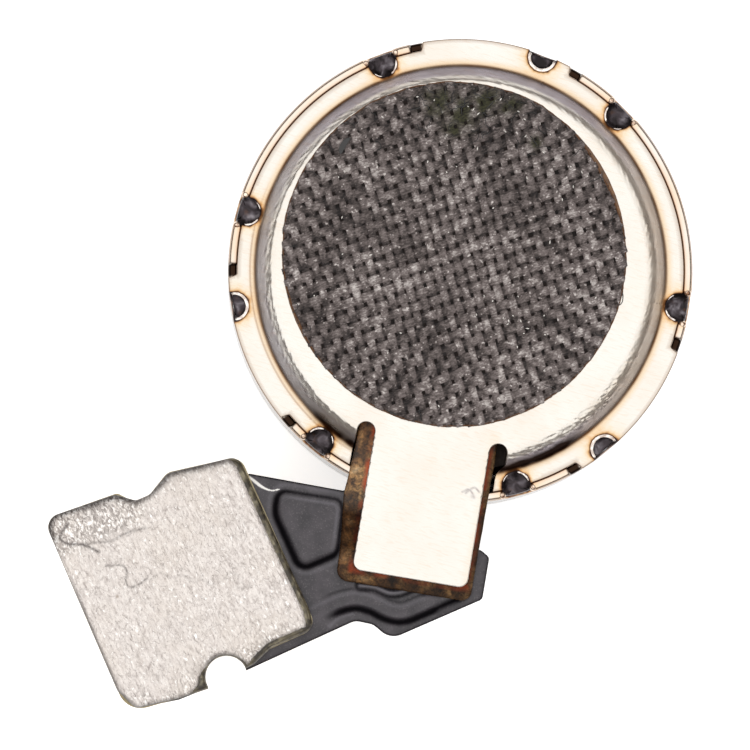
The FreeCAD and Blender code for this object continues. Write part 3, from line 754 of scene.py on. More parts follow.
def foil_finish():
    """Thin silver foil on the pad: specks, with painted highlights and shade for dents, creases and
    rolls.
    """
    foil = Finish("pad_foil_finish", srgb(196, 190, 184), 0.5, 0.36)
    turn = TAIL_TURN + 4
    dents = foil.noise((0.055, 0.10, 0.1), turn=turn, detail=4, twist=0.9)
    mottle = foil.noise((0.10, 0.22, 0.2), turn=turn, detail=5, twist=0.6)
    wide = foil.noise(0.9, turn=TAIL_TURN, detail=3)
    streaks = foil.noise((0.036, 0.5, 0.2), turn=turn, detail=3, twist=0.3)
    base = foil.ramp(mottle, (0.28, srgb(178, 170, 165)), (0.5, srgb(208, 201, 196)),
                     (0.70, srgb(222, 216, 211)))
    base = foil.touch(base, wide, 0.4, 0.7, 0.6, srgb(202, 193, 184))
    # painted highlights and painted shade on the streaks and dents, for the foil's relief
    base = foil.touch(base, streaks, 0.56, 0.70, 0.32, srgb(232, 228, 223))
    base = foil.touch(base, streaks, 0.42, 0.30, 0.2, srgb(160, 150, 144))
    base = foil.touch(base, dents, 0.41, 0.32, 0.5, srgb(140, 132, 127))
    base = foil.touch(base, dents, 0.60, 0.70, 0.7, srgb(255, 253, 250))
    # painted shade and painted highlights where the foil is crumpled and along its back edge
    crumple_shade_and_light = foil.times(foil.mark("crumple_shade_and_light"), foil.level(dents, 0.54, 0.44))
    base = foil.mix(crumple_shade_and_light, base, srgb(112, 104, 100))
    bright = foil.times(foil.mark("crumple_shade_and_light"), foil.level(dents, 0.55, 0.62))
    base = foil.mix(bright, base, srgb(255, 254, 251))
    specks = foil.level(foil.cells(0.85, turn=TAIL_TURN), 0.025, 0.05, 1.0, 0.0)
    base = foil.mix(foil.times(specks, 0.6), base, srgb(116, 98, 78))
    # painted shade on the rolled edges and by the notch
    base = foil.cover("roll", base, srgb(44, 39, 37))
    # painted shade in the creases, under the lifted edge and along the crinkles; a dark hairline
    base = foil.cover("crease", base, srgb(80, 74, 72))
    foil.set("Base Color", base)
    foil.roughen(mottle, 0.26, 0.44)
    first = foil.bump(dents, 0.030, 1.0)
    foil.bump(streaks, 0.003, 0.5, after=first)
    return foil.material


def plain_finish(name, dark, light, metallic, roughness, size, turn=0.0, depth=0.005):
    """Two tones, as 0 to 255 values, and a fine texture of one size."""
    made = Finish(name, srgb(*light), metallic, roughness)
    tone = made.noise(size, turn=turn, detail=4)
    made.set("Base Color", made.ramp(tone, (0.3, srgb(*dark)), (0.7, srgb(*light))))
    made.roughen(tone, roughness * 0.8, roughness * 1.25)
    made.bump(tone, depth, 0.7)
    return made.material


# Finishes of the CAD pieces that stay: the pieces, then what plain_finish asks for.
INNER_FINISHES = (
    ("coil_flex_pads", "copper_finish", (150, 84, 52), (205, 128, 88), 1.0, 0.3, 0.12),
    ("voice_coil coil_leads", "coil_wire_finish", (120, 56, 26), (206, 118, 60), 0.9, 0.3,
     (2.0, 2.0, 0.045), 0.0, 0.02),
    ("lead_solder tail_solder", "solder_finish", (140, 140, 142), (206, 206, 208), 1.0, 0.26, 0.08),
    # darker than the foam's own colour: painted shade for the void seen through the slots
    ("floor_damper bracket_damper", "foam_finish", (12, 9, 8), (34, 26, 22), 0.0, 0.9, 0.05, 0.0,
     0.03),
    ("spring", "spring_steel_finish", (168, 162, 152), (214, 208, 198), 1.0, 0.25,
     (0.04, 0.5, 0.5)),
    ("spring_welds", "spot_weld_finish", (60, 56, 56), (128, 120, 114), 1.0, 0.3, 0.06),
    ("yoke pole_plate", "yoke_iron_finish", (128, 126, 122), (172, 170, 166), 1.0, 0.34,
     (0.4, 0.4, 0.05)),
    ("magnet", "magnet_plate_finish", (160, 156, 146), (206, 202, 192), 1.0, 0.2, 0.3),
    # darker than the weight's own colour: painted shade for the void seen through the slots
    ("tungsten_weight", "tungsten_finish", (20, 14, 12), (52, 40, 32), 0.7, 0.45, 0.12, 0.0,
     0.012),
    ("contact_pads", "gold_finish", (196, 150, 70), (240, 200, 112), 1.0, 0.26,
     (0.06, 0.6, 0.6), TAIL_TURN),
    ("stiffener_adhesive", "pad_glue_finish", (150, 134, 96), (196, 182, 142), 0.0, 0.4, 0.15),
)


def finish_inner_nodes():
    """Give the CAD pieces that stay their finishes."""
    finishes = {"tape_adhesive": glue_finish()}
    for nodes, *values in INNER_FINISHES:
        finishes.update(dict.fromkeys(nodes.split(), plain_finish(*values)))
    for node, finish in finishes.items():
        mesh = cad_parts[node].data
        mesh.materials.clear()
        mesh.materials.append(finish)


# ---------------------------------------------------------------- can and welds

def turned_from(turn, centre):
    """Angle from a centre angle, between -180 and 180."""
    return (np.asarray(turn, float) - centre + 180) % 360 - 180


def fine_turns(start, end, step, places, reach, fine):
    """Angles from start to end, close together near the places."""
    turns = [np.arange(start, end, step)]
    for place in places:
        for lap in (-360, 0, 360):
            near = place + lap + np.arange(-reach, reach + fine / 2, fine)
            turns.append(near[(near > start + step / 4) & (near < end - step / 4)])
    turns = np.unique(np.round(np.concatenate(turns), 4))
    return turns[np.concatenate([[True], np.diff(turns) > fine * 0.45])]


def rim_shape(turn):
    """Height of the can's rim at an angle, and how much a weld has melted it away there."""
    full, melted = RIM_TOP, 0.0
    for ear in EARS:
        past = (abs(turned_from(turn, ear)) - NOTCH_HALF) * math.radians(CAN_RADIUS)
        share = 1 - clipped(past / 0.07)
        full = min(full, FLANGE_UNDER - 0.01
                   + (RIM_TOP - FLANGE_UNDER + 0.01) * math.sqrt(1 - share ** 2))
    for place, ring, radius in RIM_WELDS:
        past = abs(turned_from(turn, place)) * math.radians(ring) - radius * 0.94
        share = 1 - clipped(past / 0.11)
        low = FLANGE_UNDER - 0.06
        full = min(full, low + (RIM_TOP - low) * math.sqrt(1 - share ** 2))
        melted = max(melted, float(step_down(past, -radius, 0.10)))
    for place, ring, radius in EAR_WELDS:
        past = abs(turned_from(turn, place)) * math.radians(ring) - radius
        melted = max(melted, float(step_down(past, -radius, 0.05)))
    return full, melted


def weld_distance(places):
    """Distance of each place from the edge of the nearest weld, negative inside it."""
    gaps = [lengths(places[:, :2] - polar(ring, turn)) - radius
            for turn, ring, radius in WELDS]
    return np.min(gaps, axis=0)


def heat_at(places):
    """How much the welds' heat has coloured each place, from 0 to 1."""
    gap = np.maximum(weld_distance(places), 0)
    heat = 0.80 * np.exp(-gap / 0.025) + 0.28 * np.exp(-gap / 0.12)
    return np.clip(heat * (1 + 0.6 * field(places, 0.14, 3.0)), 0, 1)


def build_can():
    """A drawn cup with a rounded rim that is cut down at the ears and melted at the welds."""
    ends = [ear + side * NOTCH_HALF for ear in EARS for side in (-1, 1)]
    turns = fine_turns(0, 360, 1.0, ends + [weld[0] for weld in WELDS], 6.0, 0.2)
    outer_bend, inner_bend = 0.095, 0.032
    rows, deep_shade = [], []
    for turn in turns:
        top, melted = rim_shape(turn)
        away = 0.03 * melted
        profile = [(CAN_RADIUS - CORNER * (1 - math.sin(bend)), CORNER * (1 - math.cos(bend)))
                   for bend in np.radians(np.linspace(0, 90, 9))]
        profile += [(CAN_RADIUS, height) for height in np.linspace(0.6, FLANGE_UNDER - 0.35, 4)]
        for height in np.linspace(FLANGE_UNDER - 0.25, top - outer_bend, 5):
            share = float(step_up(height, FLANGE_UNDER - 0.30, FLANGE_UNDER))
            profile.append((CAN_RADIUS - away * share, height))
        profile += [(CAN_RADIUS - away - outer_bend * (1 - math.cos(bend)),
                     top - outer_bend * (1 - math.sin(bend)))
                    for bend in np.radians(np.linspace(15, 90, 6))]
        profile += [(CAN_RADIUS - WALL + inner_bend * (1 + math.cos(bend)),
                     top - inner_bend * (1 - math.sin(bend)))
                    for bend in np.radians(np.linspace(90, 180, 6))]
        profile += [(CAN_RADIUS - WALL, 1.5), (CAN_RADIUS - WALL, CORNER)]
        inner = CORNER - WALL
        profile += [(CAN_RADIUS - WALL - inner * (1 - math.cos(bend)),
                     CORNER - (CORNER - FLOOR) * math.sin(bend))
                    for bend in np.radians((30, 60, 90))]
        profile = np.array(profile)
        around = math.radians(turn)
        rows.append(np.column_stack([profile[:, 0] * math.cos(around),
                                     profile[:, 0] * math.sin(around), profile[:, 1]]))
        # painted shade on the floor of the gap between the rim's end and the ear
        from_ear = min(abs(turned_from(turn, ear)) for ear in EARS)
        in_gap = step_up(from_ear, EAR_HALF - 0.9, EAR_HALF) * (
            step_down(from_ear, NOTCH_HALF, NOTCH_HALF + 1.2))
        shaded = step_up(profile[:, 1], top - 0.10, top - 0.04)
        deep_shade.append(float(in_gap) * shaded)
    columns = len(rows[0])
    points = np.concatenate(rows + [[(0, 0, 0), (0, 0, FLOOR)]])
    count = len(rows)
    faces = []
    for row in range(count):
        start, beside = row * columns, ((row + 1) % count) * columns
        faces += [(start + step, beside + step, beside + step + 1, start + step + 1)
                  for step in range(columns - 1)]
        faces.append((beside, start, count * columns))
        faces.append((start + columns - 1, beside + columns - 1, count * columns + 1))
    heat = heat_at(points) * step_up(points[:, 2], FLANGE_UNDER - 0.25, FLANGE_UNDER)
    radius = lengths(points[:, :2])
    high = points[:, 2] > FLANGE_UNDER - 0.1
    # painted shade on the notches' floors and on the rim's outer and inner faces
    marks = {"burnt": heat, "deep_shade": np.concatenate(deep_shade + [[0, 0]]),
             "inner": 0.9 * high * step_down(radius, CAN_RADIUS - WALL, CAN_RADIUS - WALL + 0.05),
             "wall": step_down(points[:, 2], FLANGE_UNDER - 0.25, FLANGE_UNDER - 0.05),
             "outer": 0.8 * high * step_up(radius, CAN_RADIUS - 0.075, CAN_RADIUS - 0.01)}
    piece = make_piece("can_shell", points, faces, can_finish(), "housing", "can_steel",
                       marks=marks, sharp=50)
    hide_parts("can")


def weld_pool(turn, ring, radius, seed):
    """A frozen pool: a dished patch that ends in a chord at the can's outside."""
    middle = polar(ring, turn)[0]
    limit = CAN_RADIUS - 0.06
    around = np.radians(np.arange(0, 360, 6))
    ways = np.column_stack([np.cos(around), np.sin(around)])
    along = ways @ middle
    reach = -along + np.sqrt(along ** 2 + limit ** 2 - middle @ middle)
    wobble = 1 + 0.05 * field(ways * 0.9, 0.8, seed)
    outer = np.minimum(radius * 1.08 * wobble, reach)
    at_wall = step_up(radius * 1.08 - reach, -0.02, 0.04)
    points = []
    for share in np.linspace(0.001, 1, 13):
        places = middle + ways * (outer * share)[:, None]
        rise = POOL_DEPTH * share ** 2.6 * (1 - 0.8 * at_wall)
        ripple = 0.010 * field(places, 0.10, seed + 5) * (1 - share ** 6)
        points.append(np.column_stack([places, FLANGE_TOP - POOL_DEPTH + rise + ripple]))
    rim = points[-1]
    for out, down in ((0.012, 0.03), (0.016, 0.08)):
        lower = rim.copy()
        lower[:, :2] += ways * out
        lower[:, 2] -= down * (0.4 + 0.6 * at_wall)
        points.append(lower)
    foot = rim.copy()
    foot[:, 2] = FLANGE_UNDER + 0.03 - 0.22 * at_wall
    points.append(foot)
    count = len(around)
    faces = strip_faces(len(points), count)
    flat = np.concatenate(points)
    size = lengths(flat[:, :2])
    flat[:, :2] *= np.minimum(1, (CAN_RADIUS - 0.005) / size)[:, None]
    top = len(flat)
    flat = np.vstack([flat, [*middle, FLANGE_TOP - POOL_DEPTH], [*middle, FLANGE_UNDER + 0.03]])
    last = (len(points) - 1) * count
    for index in range(count):
        beside = (index + 1) % count
        faces.append((index, beside, top))
        faces.append((last + beside, last + index, top + 1))
    return flat, faces


def weld_lip(turn, ring, radius, wide, reach, shift=0.0):
    """A raised edge round a pool, thinner towards its ends."""
    middle = polar(ring, turn)[0]
    angles = turn + 180 + shift + np.linspace(-reach, reach, 41)
    line = middle + polar(radius + wide * 0.5, angles)
    size = lengths(line)
    line *= np.minimum(1, (CAN_RADIUS - wide * 1.3) / size)[:, None]
    thin = np.sqrt(np.clip(1 - np.linspace(-1, 1, 41) ** 6, 0.02, 1))
    thin *= 1 + 0.25 * field(line, 0.12, turn)
    height = FLANGE_TOP + wide * 0.30 + 0.008 * field(line, 0.15, turn + 2)
    return tube(np.column_stack([line, height]), wide * thin, 8)


def rim_bead(turn):
    """A bead of melted steel at the end of a run of rim."""
    radius = 0.085
    middle = polar(CAN_RADIUS - WALL / 2, turn)[0]
    share = np.sin(np.radians(np.linspace(-84, 84, 11)))
    line = middle + polar(1.0, turn + 90) * (share * radius)[:, None]
    height = np.full(11, RIM_TOP - radius * 0.8)
    return tube(np.column_stack([line, height]), radius * np.sqrt(1 - share ** 2), 14)


def build_welds():
    """Nine frozen pools, the lips round them and the beads where they end the rim."""
    pools = [weld_pool(turn, ring, radius, turn) for turn, ring, radius in WELDS]
    piece = make_piece("weld_pools", *joined(pools), weld_finish(), "housing", "weld_metal")
    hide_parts("weld_beads")
    lips = [weld_lip(turn, ring, radius - 0.04, 0.040, 100) for turn, ring, radius in EAR_WELDS]
    beads = []
    for index, (turn, ring, radius) in enumerate(RIM_WELDS):
        strong = 52 if index % 2 else -52
        lips.append(weld_lip(turn, ring, radius - 0.015, 0.022, 34, strong))
        lips.append(weld_lip(turn, ring, radius - 0.010, 0.012, 18, -strong * 0.8))
        aside = math.degrees((radius * 0.94 + 0.06) / ring)
        beads += [rim_bead(turn + aside), rim_bead(turn - aside)]
    bright = lip_finish("weld_lip_finish", srgb(176, 160, 150), srgb(226, 220, 214))
    make_piece("weld_lips", *joined(lips), bright, "housing", "weld_metal")
    browned = lip_finish("rim_bead_finish", srgb(128, 96, 74), srgb(222, 204, 186))
    make_piece("rim_beads", *joined(beads), browned, "housing", "weld_metal")


# ---------------------------------------------------------------- bracket

def flange_edge(turn):
    """Radius of the bracket's edge at an angle: flange, ears and weld bites."""
    edge = FLANGE_RADIUS
    for ear in EARS:
        past = (EAR_HALF - abs(turned_from(turn, ear))) * math.radians(CAN_RADIUS)
        share = clipped((past + 0.02) / 0.08)
        edge = max(edge, FLANGE_RADIUS + (CAN_RADIUS - FLANGE_RADIUS) * share ** 1.4)
    for place, ring, radius in WELDS:
        away = math.radians(turned_from(turn, place))
        half = ring * math.sin(abs(away))
        if half < radius and abs(away) < 1:
            edge = min(edge, ring * math.cos(away) - math.sqrt(radius ** 2 - half ** 2))
    return edge


def bracket_outline():
    """Outline of the bracket: round flange with ears, two slots and the tongue."""
    foot = math.degrees(math.asin(SLOT_OUTER / FLANGE_RADIUS))
    ends = [ear + side * EAR_HALF for ear in EARS for side in (-1, 1)]
    narrow_foot = math.degrees(math.asin(SLOT_NARROW / FLANGE_RADIUS))
    ends += [weld[0] for weld in WELDS]
    turns = fine_turns(narrow_foot - 90, 270 - foot, 0.8, ends, 4.6, 0.12)
    around = spread(polar([flange_edge(turn) for turn in turns], turns), 0.03, closed=False)
    middle = (SLOT_OUTER + TONGUE_HALF) / 2
    small = (SLOT_OUTER - TONGUE_HALF) / 2
    left_slot, right_slot = (arc((place, -SLOT_END - small), small, 180, 0, 0.03)
                             for place in (-middle, middle))
    narrow = smooth_line([(SLOT_OUTER, -3.92), (SLOT_OUTER - 0.02, -4.00),
                          (SLOT_NARROW + 0.03, -4.16), (SLOT_NARROW, -4.30),
                          (SLOT_NARROW, -4.56)])
    right_slot = np.vstack([right_slot, narrow])
    tip = TONGUE_CORNER - TONGUE_TIP
    side = TONGUE_HALF - TONGUE_CORNER
    left_tip = arc((-side, tip), TONGUE_CORNER, 180, 270, 0.03)
    right_tip = arc((side, tip), TONGUE_CORNER, 270, 360, 0.03)
    parts = [around, left_slot, left_tip, right_tip, right_slot]
    return spread(np.concatenate(parts), 0.08)


def stretch_marks(places):
    """Height of the fine slanted marks where the plateau bends down into the slope."""
    radius, turn = around_axis(places)
    around = np.radians(turned_from(turn, 90)) * 4.1
    band = between(radius, 3.94, 4.04, 4.16, 4.30)
    worn = 0.45 + 0.55 * step_up(-facing(turn, 20), -0.8, 0.1)
    torn = step_up(facing(turn, -50), 0.75, 0.95)
    skewed = np.column_stack([around / 4.5, radius - around * 0.27])
    coarse = field(skewed, 0.042, 12.0)
    fine = field(skewed * np.array((1.4, 1.0)), 0.024, 21.0)
    rips = field(np.column_stack([around / 3.2, radius - around * 0.5]), 0.034, 33.0)
    reach = between(radius, 3.84, 4.00, 4.20, 4.32)
    low = step_up(-facing(turn, 45), 0.6, 0.95)
    ripped = reach * (0.020 * torn + 0.012 * low) * rips
    return band * worn * (0.0120 * coarse + 0.0050 * fine) + ripped


def on_tongue(places):
    """Which places of the bracket belong to the tongue."""
    return (np.abs(places[:, 0]) < (SLOT_OUTER + TONGUE_HALF) / 2) & (places[:, 1] < TONGUE_ROOT)


def bracket_height(places):
    """Height of the bracket's upper face: plateau, rounded shoulder, flange and weld edges."""
    foot_bend = 0.24
    radius, turn = around_axis(places)
    top_bend = 0.13 + 0.34 * step_up(facing(turn, 8), 0.15, 0.8)
    corner = math.tan(math.radians(22.5))
    fall, run = PLATEAU - FLANGE_TOP, SHOULDER_FOOT - SHOULDER_TOP
    slope = PLATEAU - (radius - SHOULDER_TOP) * fall / run
    height = np.clip(slope, FLANGE_TOP, PLATEAU)
    start = SHOULDER_TOP - top_bend * corner
    share = np.clip(radius - start, 0, top_bend * math.sin(math.radians(45)))
    round_top = PLATEAU - top_bend + np.sqrt(top_bend ** 2 - share ** 2)
    height = np.where(radius < start + top_bend * 0.707, np.minimum(height, round_top), height)
    end = SHOULDER_FOOT + foot_bend * corner
    share = np.clip(end - radius, 0, foot_bend * math.sin(math.radians(45)))
    round_foot = FLANGE_TOP + foot_bend - np.sqrt(foot_bend ** 2 - share ** 2)
    height = np.where(radius > end - foot_bend * 0.707, np.maximum(height, round_foot), height)
    raised = 0.010 * bell(weld_distance(places) - 0.06, 0.04)
    left = step_up(-facing(turn, 30), 0.72, 0.9)
    raised -= 0.009 * left * bell(radius - 4.525, 0.014)
    height = np.where(on_tongue(places), PLATEAU, height + raised + stretch_marks(places))
    wave = 0.004 * field(places, 1.1, 9.0) * step_down(radius, 2.8, 3.8)
    return np.minimum(height, PLATEAU) + wave * 0.5 - 0.002


SCUFFS = [[(0.815, -4.702), (0.934, -4.629), (1.034, -4.694), (1.093, -4.786)],
          [(0.892, -4.717), (0.989, -4.610), (1.069, -4.566), (1.171, -4.643)]]


def bracket_marks(plan, outline):
    """Heat, scuffs, painted warm reflection and painted shade on the bracket, from 0 to 1."""
    radius, turn = around_axis(plan)
    off_tongue = 1 - on_tongue(plan)
    right = step_up(facing(turn, 2), 0.55, 0.95)
    left = step_up(facing(turn, 205), 0.3, 0.8)
    # painted shade on the slope, less on the lit right side and the lower left
    slope = between(radius, 4.17, 4.23, 4.38, 4.43)
    shade = slope * (1 - 0.75 * right) * (1 - 0.45 * left) * off_tongue
    rubbed = between(radius, 3.94, 4.02, 4.44, 4.50) * off_tongue
    # painted warm reflection by the slope's foot and on the lit right side
    warm_reflection = between(radius, 4.38, 4.44, 4.46, 4.62) * 0.85
    warm_reflection = np.maximum(warm_reflection, 0.45 * right * step_up(radius, 3.95, 4.25)
                       * step_down(radius, 4.40, 4.60))
    edge = step_up(np.abs(plan[:, 0]), 1.08, 1.25) * (plan[:, 0] > 0)
    warm_reflection = np.where(off_tongue > 0, warm_reflection, 0.25 * edge)
    # painted shade, near black, at the slope's foot beside two welds
    deep_shade = np.zeros(len(plan))
    for start, end, ring, wide in ((-126, -108, 4.40, 0.08), (-72, -46, 4.36, 0.09)):
        window = between(turn, start - 6, start + 5, end - 5, end + 5)
        deep_shade = np.maximum(deep_shade, window * bell(radius - ring, wide))
    deep_shade = np.clip(deep_shade * (1.25 + 0.8 * field(plan, 0.25, 14.0)), 0, 1) * off_tongue
    scuff = drawn(plan, [(smooth_line(line), 0.75, 0.020) for line in SCUFFS])
    smudge = lengths(plan - np.array((1.06, -4.76)))
    scuff = np.maximum(scuff, 0.5 * bell(smudge, 0.05))
    # painted brown shade along the outer edge by the rim, at the slope's foot and in a rill
    seam_shade = bell(distance_to(plan, outline, closed=True), 0.035)
    seam_shade *= 0.75 * off_tongue * (radius > 4.6)
    foot = 0.8 * bell(radius - 4.425, 0.035) * off_tongue
    seam_shade = np.maximum(seam_shade, foot * (1.0 + 0.5 * field(plan, 0.5, 21.0)))
    rill = step_up(-facing(turn, 30), 0.65, 0.9) * bell(radius - 4.53, 0.018)
    seam_shade = np.maximum(seam_shade, 0.55 * rill * off_tongue)
    return {"burnt": heat_at(plan) * off_tongue, "warm_reflection": warm_reflection, "shade": shade, "deep_shade": deep_shade,
            "rubbed": rubbed, "seam_shade": seam_shade, "scuff": scuff * (0.8 + 0.6 * field(plan, 0.08, 4.0))}


def build_bracket():
    """The stamped plate, with finer faces on its shoulder, round its welds and by its scuffs."""
    outline = bracket_outline()
    inner = []
    for radius in (*np.arange(3.90, 4.62, 0.020), 4.66, 4.70, 4.84, 4.90):
        inner.append(polar(radius, np.arange(0, 360, 0.7)))
    for turn, ring, radius in WELDS:
        for gap in np.arange(0.05, 0.26, 0.03):
            inner.append(polar(ring, turn) + polar(radius + gap, np.arange(0, 360, 6)))
    grid = lattice((-3.9, -3.9), (3.9, 3.9), 0.22)
    inner.append(grid[lengths(grid) < 3.85])
    inner.append(lattice((-1.2, -6.7), (1.2, -3.95), 0.12))
    inner.append(lattice((0.76, -4.90), (1.2, -4.52), 0.025))
    points, faces, plan = pressed_sheet(outline, np.concatenate(inner), bracket_height, GAUGE,
                                        0.028)
    piece = make_piece("bracket_plate", points, faces, bracket_finish(), "housing",
                       "bracket_steel", marks=bracket_marks(plan, outline), sharp=60)
    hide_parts("bracket")


# ---------------------------------------------------------------- cloth tape

def cloth_edge(turn):
    """Radius of the cut cloth at an angle: hand-cut, with two flats and small nicks."""
    turn = np.asarray(turn, float)
    flat = 0.10 * bell(turned_from(turn, 36), 17)
    flat = flat + 0.05 * bell(turned_from(turn, 215), 20)
    ragged = field(polar(CLOTH_RADIUS, np.atleast_1d(turn)), 0.5, 4.0)
    nicks = field(polar(CLOTH_RADIUS, np.atleast_1d(turn)), 0.13, 8.0)
    return CLOTH_RADIUS - 0.035 - flat + 0.022 * ragged + 0.010 * nicks


def stain_at(places):
    """The oily stain near the far edge of the cloth."""
    spots = ((97, 3.05, 0.36), (88, 3.36, 0.30), (106, 3.3, 0.30), (100, 2.65, 0.20),
             (79, 3.45, 0.22), (64, 2.95, 0.14))
    result = np.zeros(len(places))
    for turn, ring, size in spots:
        gap = lengths(places[:, :2] - CLOTH_MIDDLE - polar(ring, turn))
        result = np.maximum(result, bell(gap, size))
    return np.clip(result * (1.1 + 1.3 * field(places, 0.22, 6.0)), 0, 0.95)


def threads(direction, pitch, crossing, phase):
    """One family of threads, each a flattened strand that goes over and under the others."""
    way = polar(1.0, direction)[0]
    side = polar(1.0, direction + 90)[0]
    middle = CLOTH_TOP - 0.038
    parts, tones = [], []
    count = int(CLOTH_RADIUS / pitch)
    for index in range(-count, count + 1):
        offset = index * pitch + random.uniform(-0.014, 0.014)
        outward = math.copysign(1.0, offset)
        inner = max(abs(offset) - pitch * 0.36, 0.0)
        if inner > CLOTH_RADIUS - 0.12:
            continue
        ends = []
        for sign in (-1, 1):
            place = sign * math.sqrt(CLOTH_RADIUS ** 2 - inner ** 2) * way + inner * outward * side
            edge = float(cloth_edge(turn_of(place))[0])
            ends.append(sign * math.sqrt(max(0.01, edge ** 2 - inner ** 2)))
        along = np.arange(ends[0], ends[1], crossing / 6)
        if len(along) < 5:
            continue
        along = np.append(along[:-1], ends[1])
        strip = np.column_stack([along, np.full_like(along, offset)])
        wander = 0.024 * field(strip, 1.3, phase) + 0.011 * field(strip, 0.3, phase)
        plan = along[:, None] * way + (offset + wander)[:, None] * side
        wave = 0.014 * np.cos(np.pi * along / crossing + np.pi * index + phase)
        width = pitch * (THREAD_HALF + 0.060 * field(plan, 0.45, phase + 2))
        width += 0.010 * field(strip, 0.09, phase + 7)
        # the outer side is cut off where it would pass the cloth's edge
        rim = plan + side * (outward * width)[:, None]
        size = lengths(rim)
        over = size - cloth_edge(np.degrees(np.arctan2(rim[:, 1], rim[:, 0])))
        lean = np.maximum(np.abs(rim @ side) / size, 0.05)
        cut = np.clip(over / lean, 0, 2 * width - 0.01)
        width = width - cut / 2
        plan = CLOTH_MIDDLE + plan - side * (outward * cut / 2)[:, None]
        line = np.column_stack([plan, middle + wave])
        parts.append(tube(line, width, 8, flat=THREAD_RISE / (pitch * THREAD_HALF)))
        tone = random.uniform(-0.08, 0.10) + 0.06 * field(plan, 0.4, phase + 11)
        tones.append(np.repeat(tone, 8))
    points, faces = joined(parts)
    return points, faces, {"stain": stain_at(points), "thread": np.concatenate(tones)}


def build_cloth():
    """Woven threads over a dark glue film."""
    finish = cloth_finish()
    points, faces, marks = threads(*WEFT, WARP[1], 0.0)
    weft = make_piece("cloth_weft", points, faces, finish, "housing", "woven_cloth", marks=marks)
    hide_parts("cloth_tape")
    points, faces, marks = threads(*WARP, WEFT[1], math.pi)
    make_piece("cloth_warp", points, faces, finish, "housing", "woven_cloth", marks=marks)
    turns = np.arange(0, 360, 0.6)
    outline = CLOTH_MIDDLE + polar(cloth_edge(turns) + 0.022, turns)
    rings = [CLOTH_MIDDLE + polar(cloth_edge(turns) - inset, turns)
             for inset in (0.01, 0.06, 0.11, 0.18)]
    inner = np.concatenate([lattice(CLOTH_LOW[:2] + 0.3, CLOTH_HIGH[:2] - 0.3, 0.3)] + rings)
    low = CLOTH_LOW[2]

    def top(places):
        gap = distance_to(places, outline, closed=True)
        return low + 0.022 + 0.026 * step_down(gap, 0.05, 0.16)

    points, faces, plan = pressed_sheet(outline, inner, top, 0.022, 0.020, steps=3,
                                        under=level_at(low))
    gap = distance_to(plan, outline, closed=True)
    marks = {"lint": step_down(gap, 0.06, 0.16), "edge": step_down(gap, 0.015, 0.035)}
    make_piece("cloth_backing", points, faces, backing_finish(), "housing", "woven_cloth",
               marks=marks)


def build_lint():
    """Loose fibres, frayed ends, specks and a glossy flake on the cloth."""
    top = CLOTH_TOP - 0.006
    dark, pale = [], []
    for index in range(90):
        turn = random.uniform(0, 360)
        ring = float(cloth_edge(turn)[0]) - random.uniform(0.0, 0.06)
        if index % 2 == 0:
            turn, ring = random.gauss(93, 13), random.uniform(2.6, 3.6)
        start = CLOTH_MIDDLE + polar(ring, turn)[0]
        heading = random.uniform(0, 360)
        line = [start]
        for _ in range(5):
            heading += random.uniform(-50, 50)
            line.append(line[-1] + polar(random.uniform(0.03, 0.08), heading)[0])
        line = smooth_line(line, 4)
        gap = lengths(line - CLOTH_MIDDLE)
        if gap.max() > CLOTH_RADIUS + 0.03:
            continue
        height = np.where(gap < CLOTH_RADIUS - 0.05, top - 0.006, top - 0.02)
        dark.append(tube(np.column_stack([line, height]), random.uniform(0.006, 0.011), 5))
    flake = np.array((-2.94, 2.23))
    share = np.sin(np.radians(np.linspace(-80, 80, 9)))
    line = flake + polar(0.20, 69) * share[:, None] - polar(0.05, 159) * (share ** 2)[:, None]
    dark.append(tube(np.column_stack([line, np.full(9, top - 0.004)]),
                     0.062 * np.sqrt(1 - share ** 2), 10, flat=0.14))
    for index in range(60):
        start = CLOTH_MIDDLE + polar(CLOTH_RADIUS * 0.95 * math.sqrt(random.random()),
                                     random.uniform(0, 360))[0]
        if index < 9:
            start = CLOTH_MIDDLE + polar(random.uniform(1.5, 2.7), random.gauss(-38, 9))[0]
        if index > 48:
            start = CLOTH_MIDDLE + polar(random.uniform(2.8, 3.5), random.gauss(88, 14))[0]
        heading = polar(random.uniform(0.015, 0.04), random.uniform(0, 360))[0]
        line = np.array([start - heading, start, start + heading])
        pale.append(tube(np.column_stack([line, np.full(3, top)]), (0.004, 0.014, 0.004), 6, 0.4))
    black = plain_finish("dark_lint_finish", (8, 7, 7), (26, 23, 22), 0.0, 0.22, 0.03)
    white = plain_finish("pale_lint_finish", (170, 166, 160), (236, 232, 226), 0.0, 0.5, 0.03)
    make_piece("dark_lint", *joined(dark), black, "housing", "woven_cloth")
    make_piece("pale_lint", *joined(pale), white, "housing", "woven_cloth")


# ---------------------------------------------------------------- coil flex

STRIP_LEFT = [(-1.60, -3.40), (-1.62, -4.20), (-1.66, -4.80), (-1.68, -5.20), (-1.60, -6.00),
              (-1.56, -6.70)]


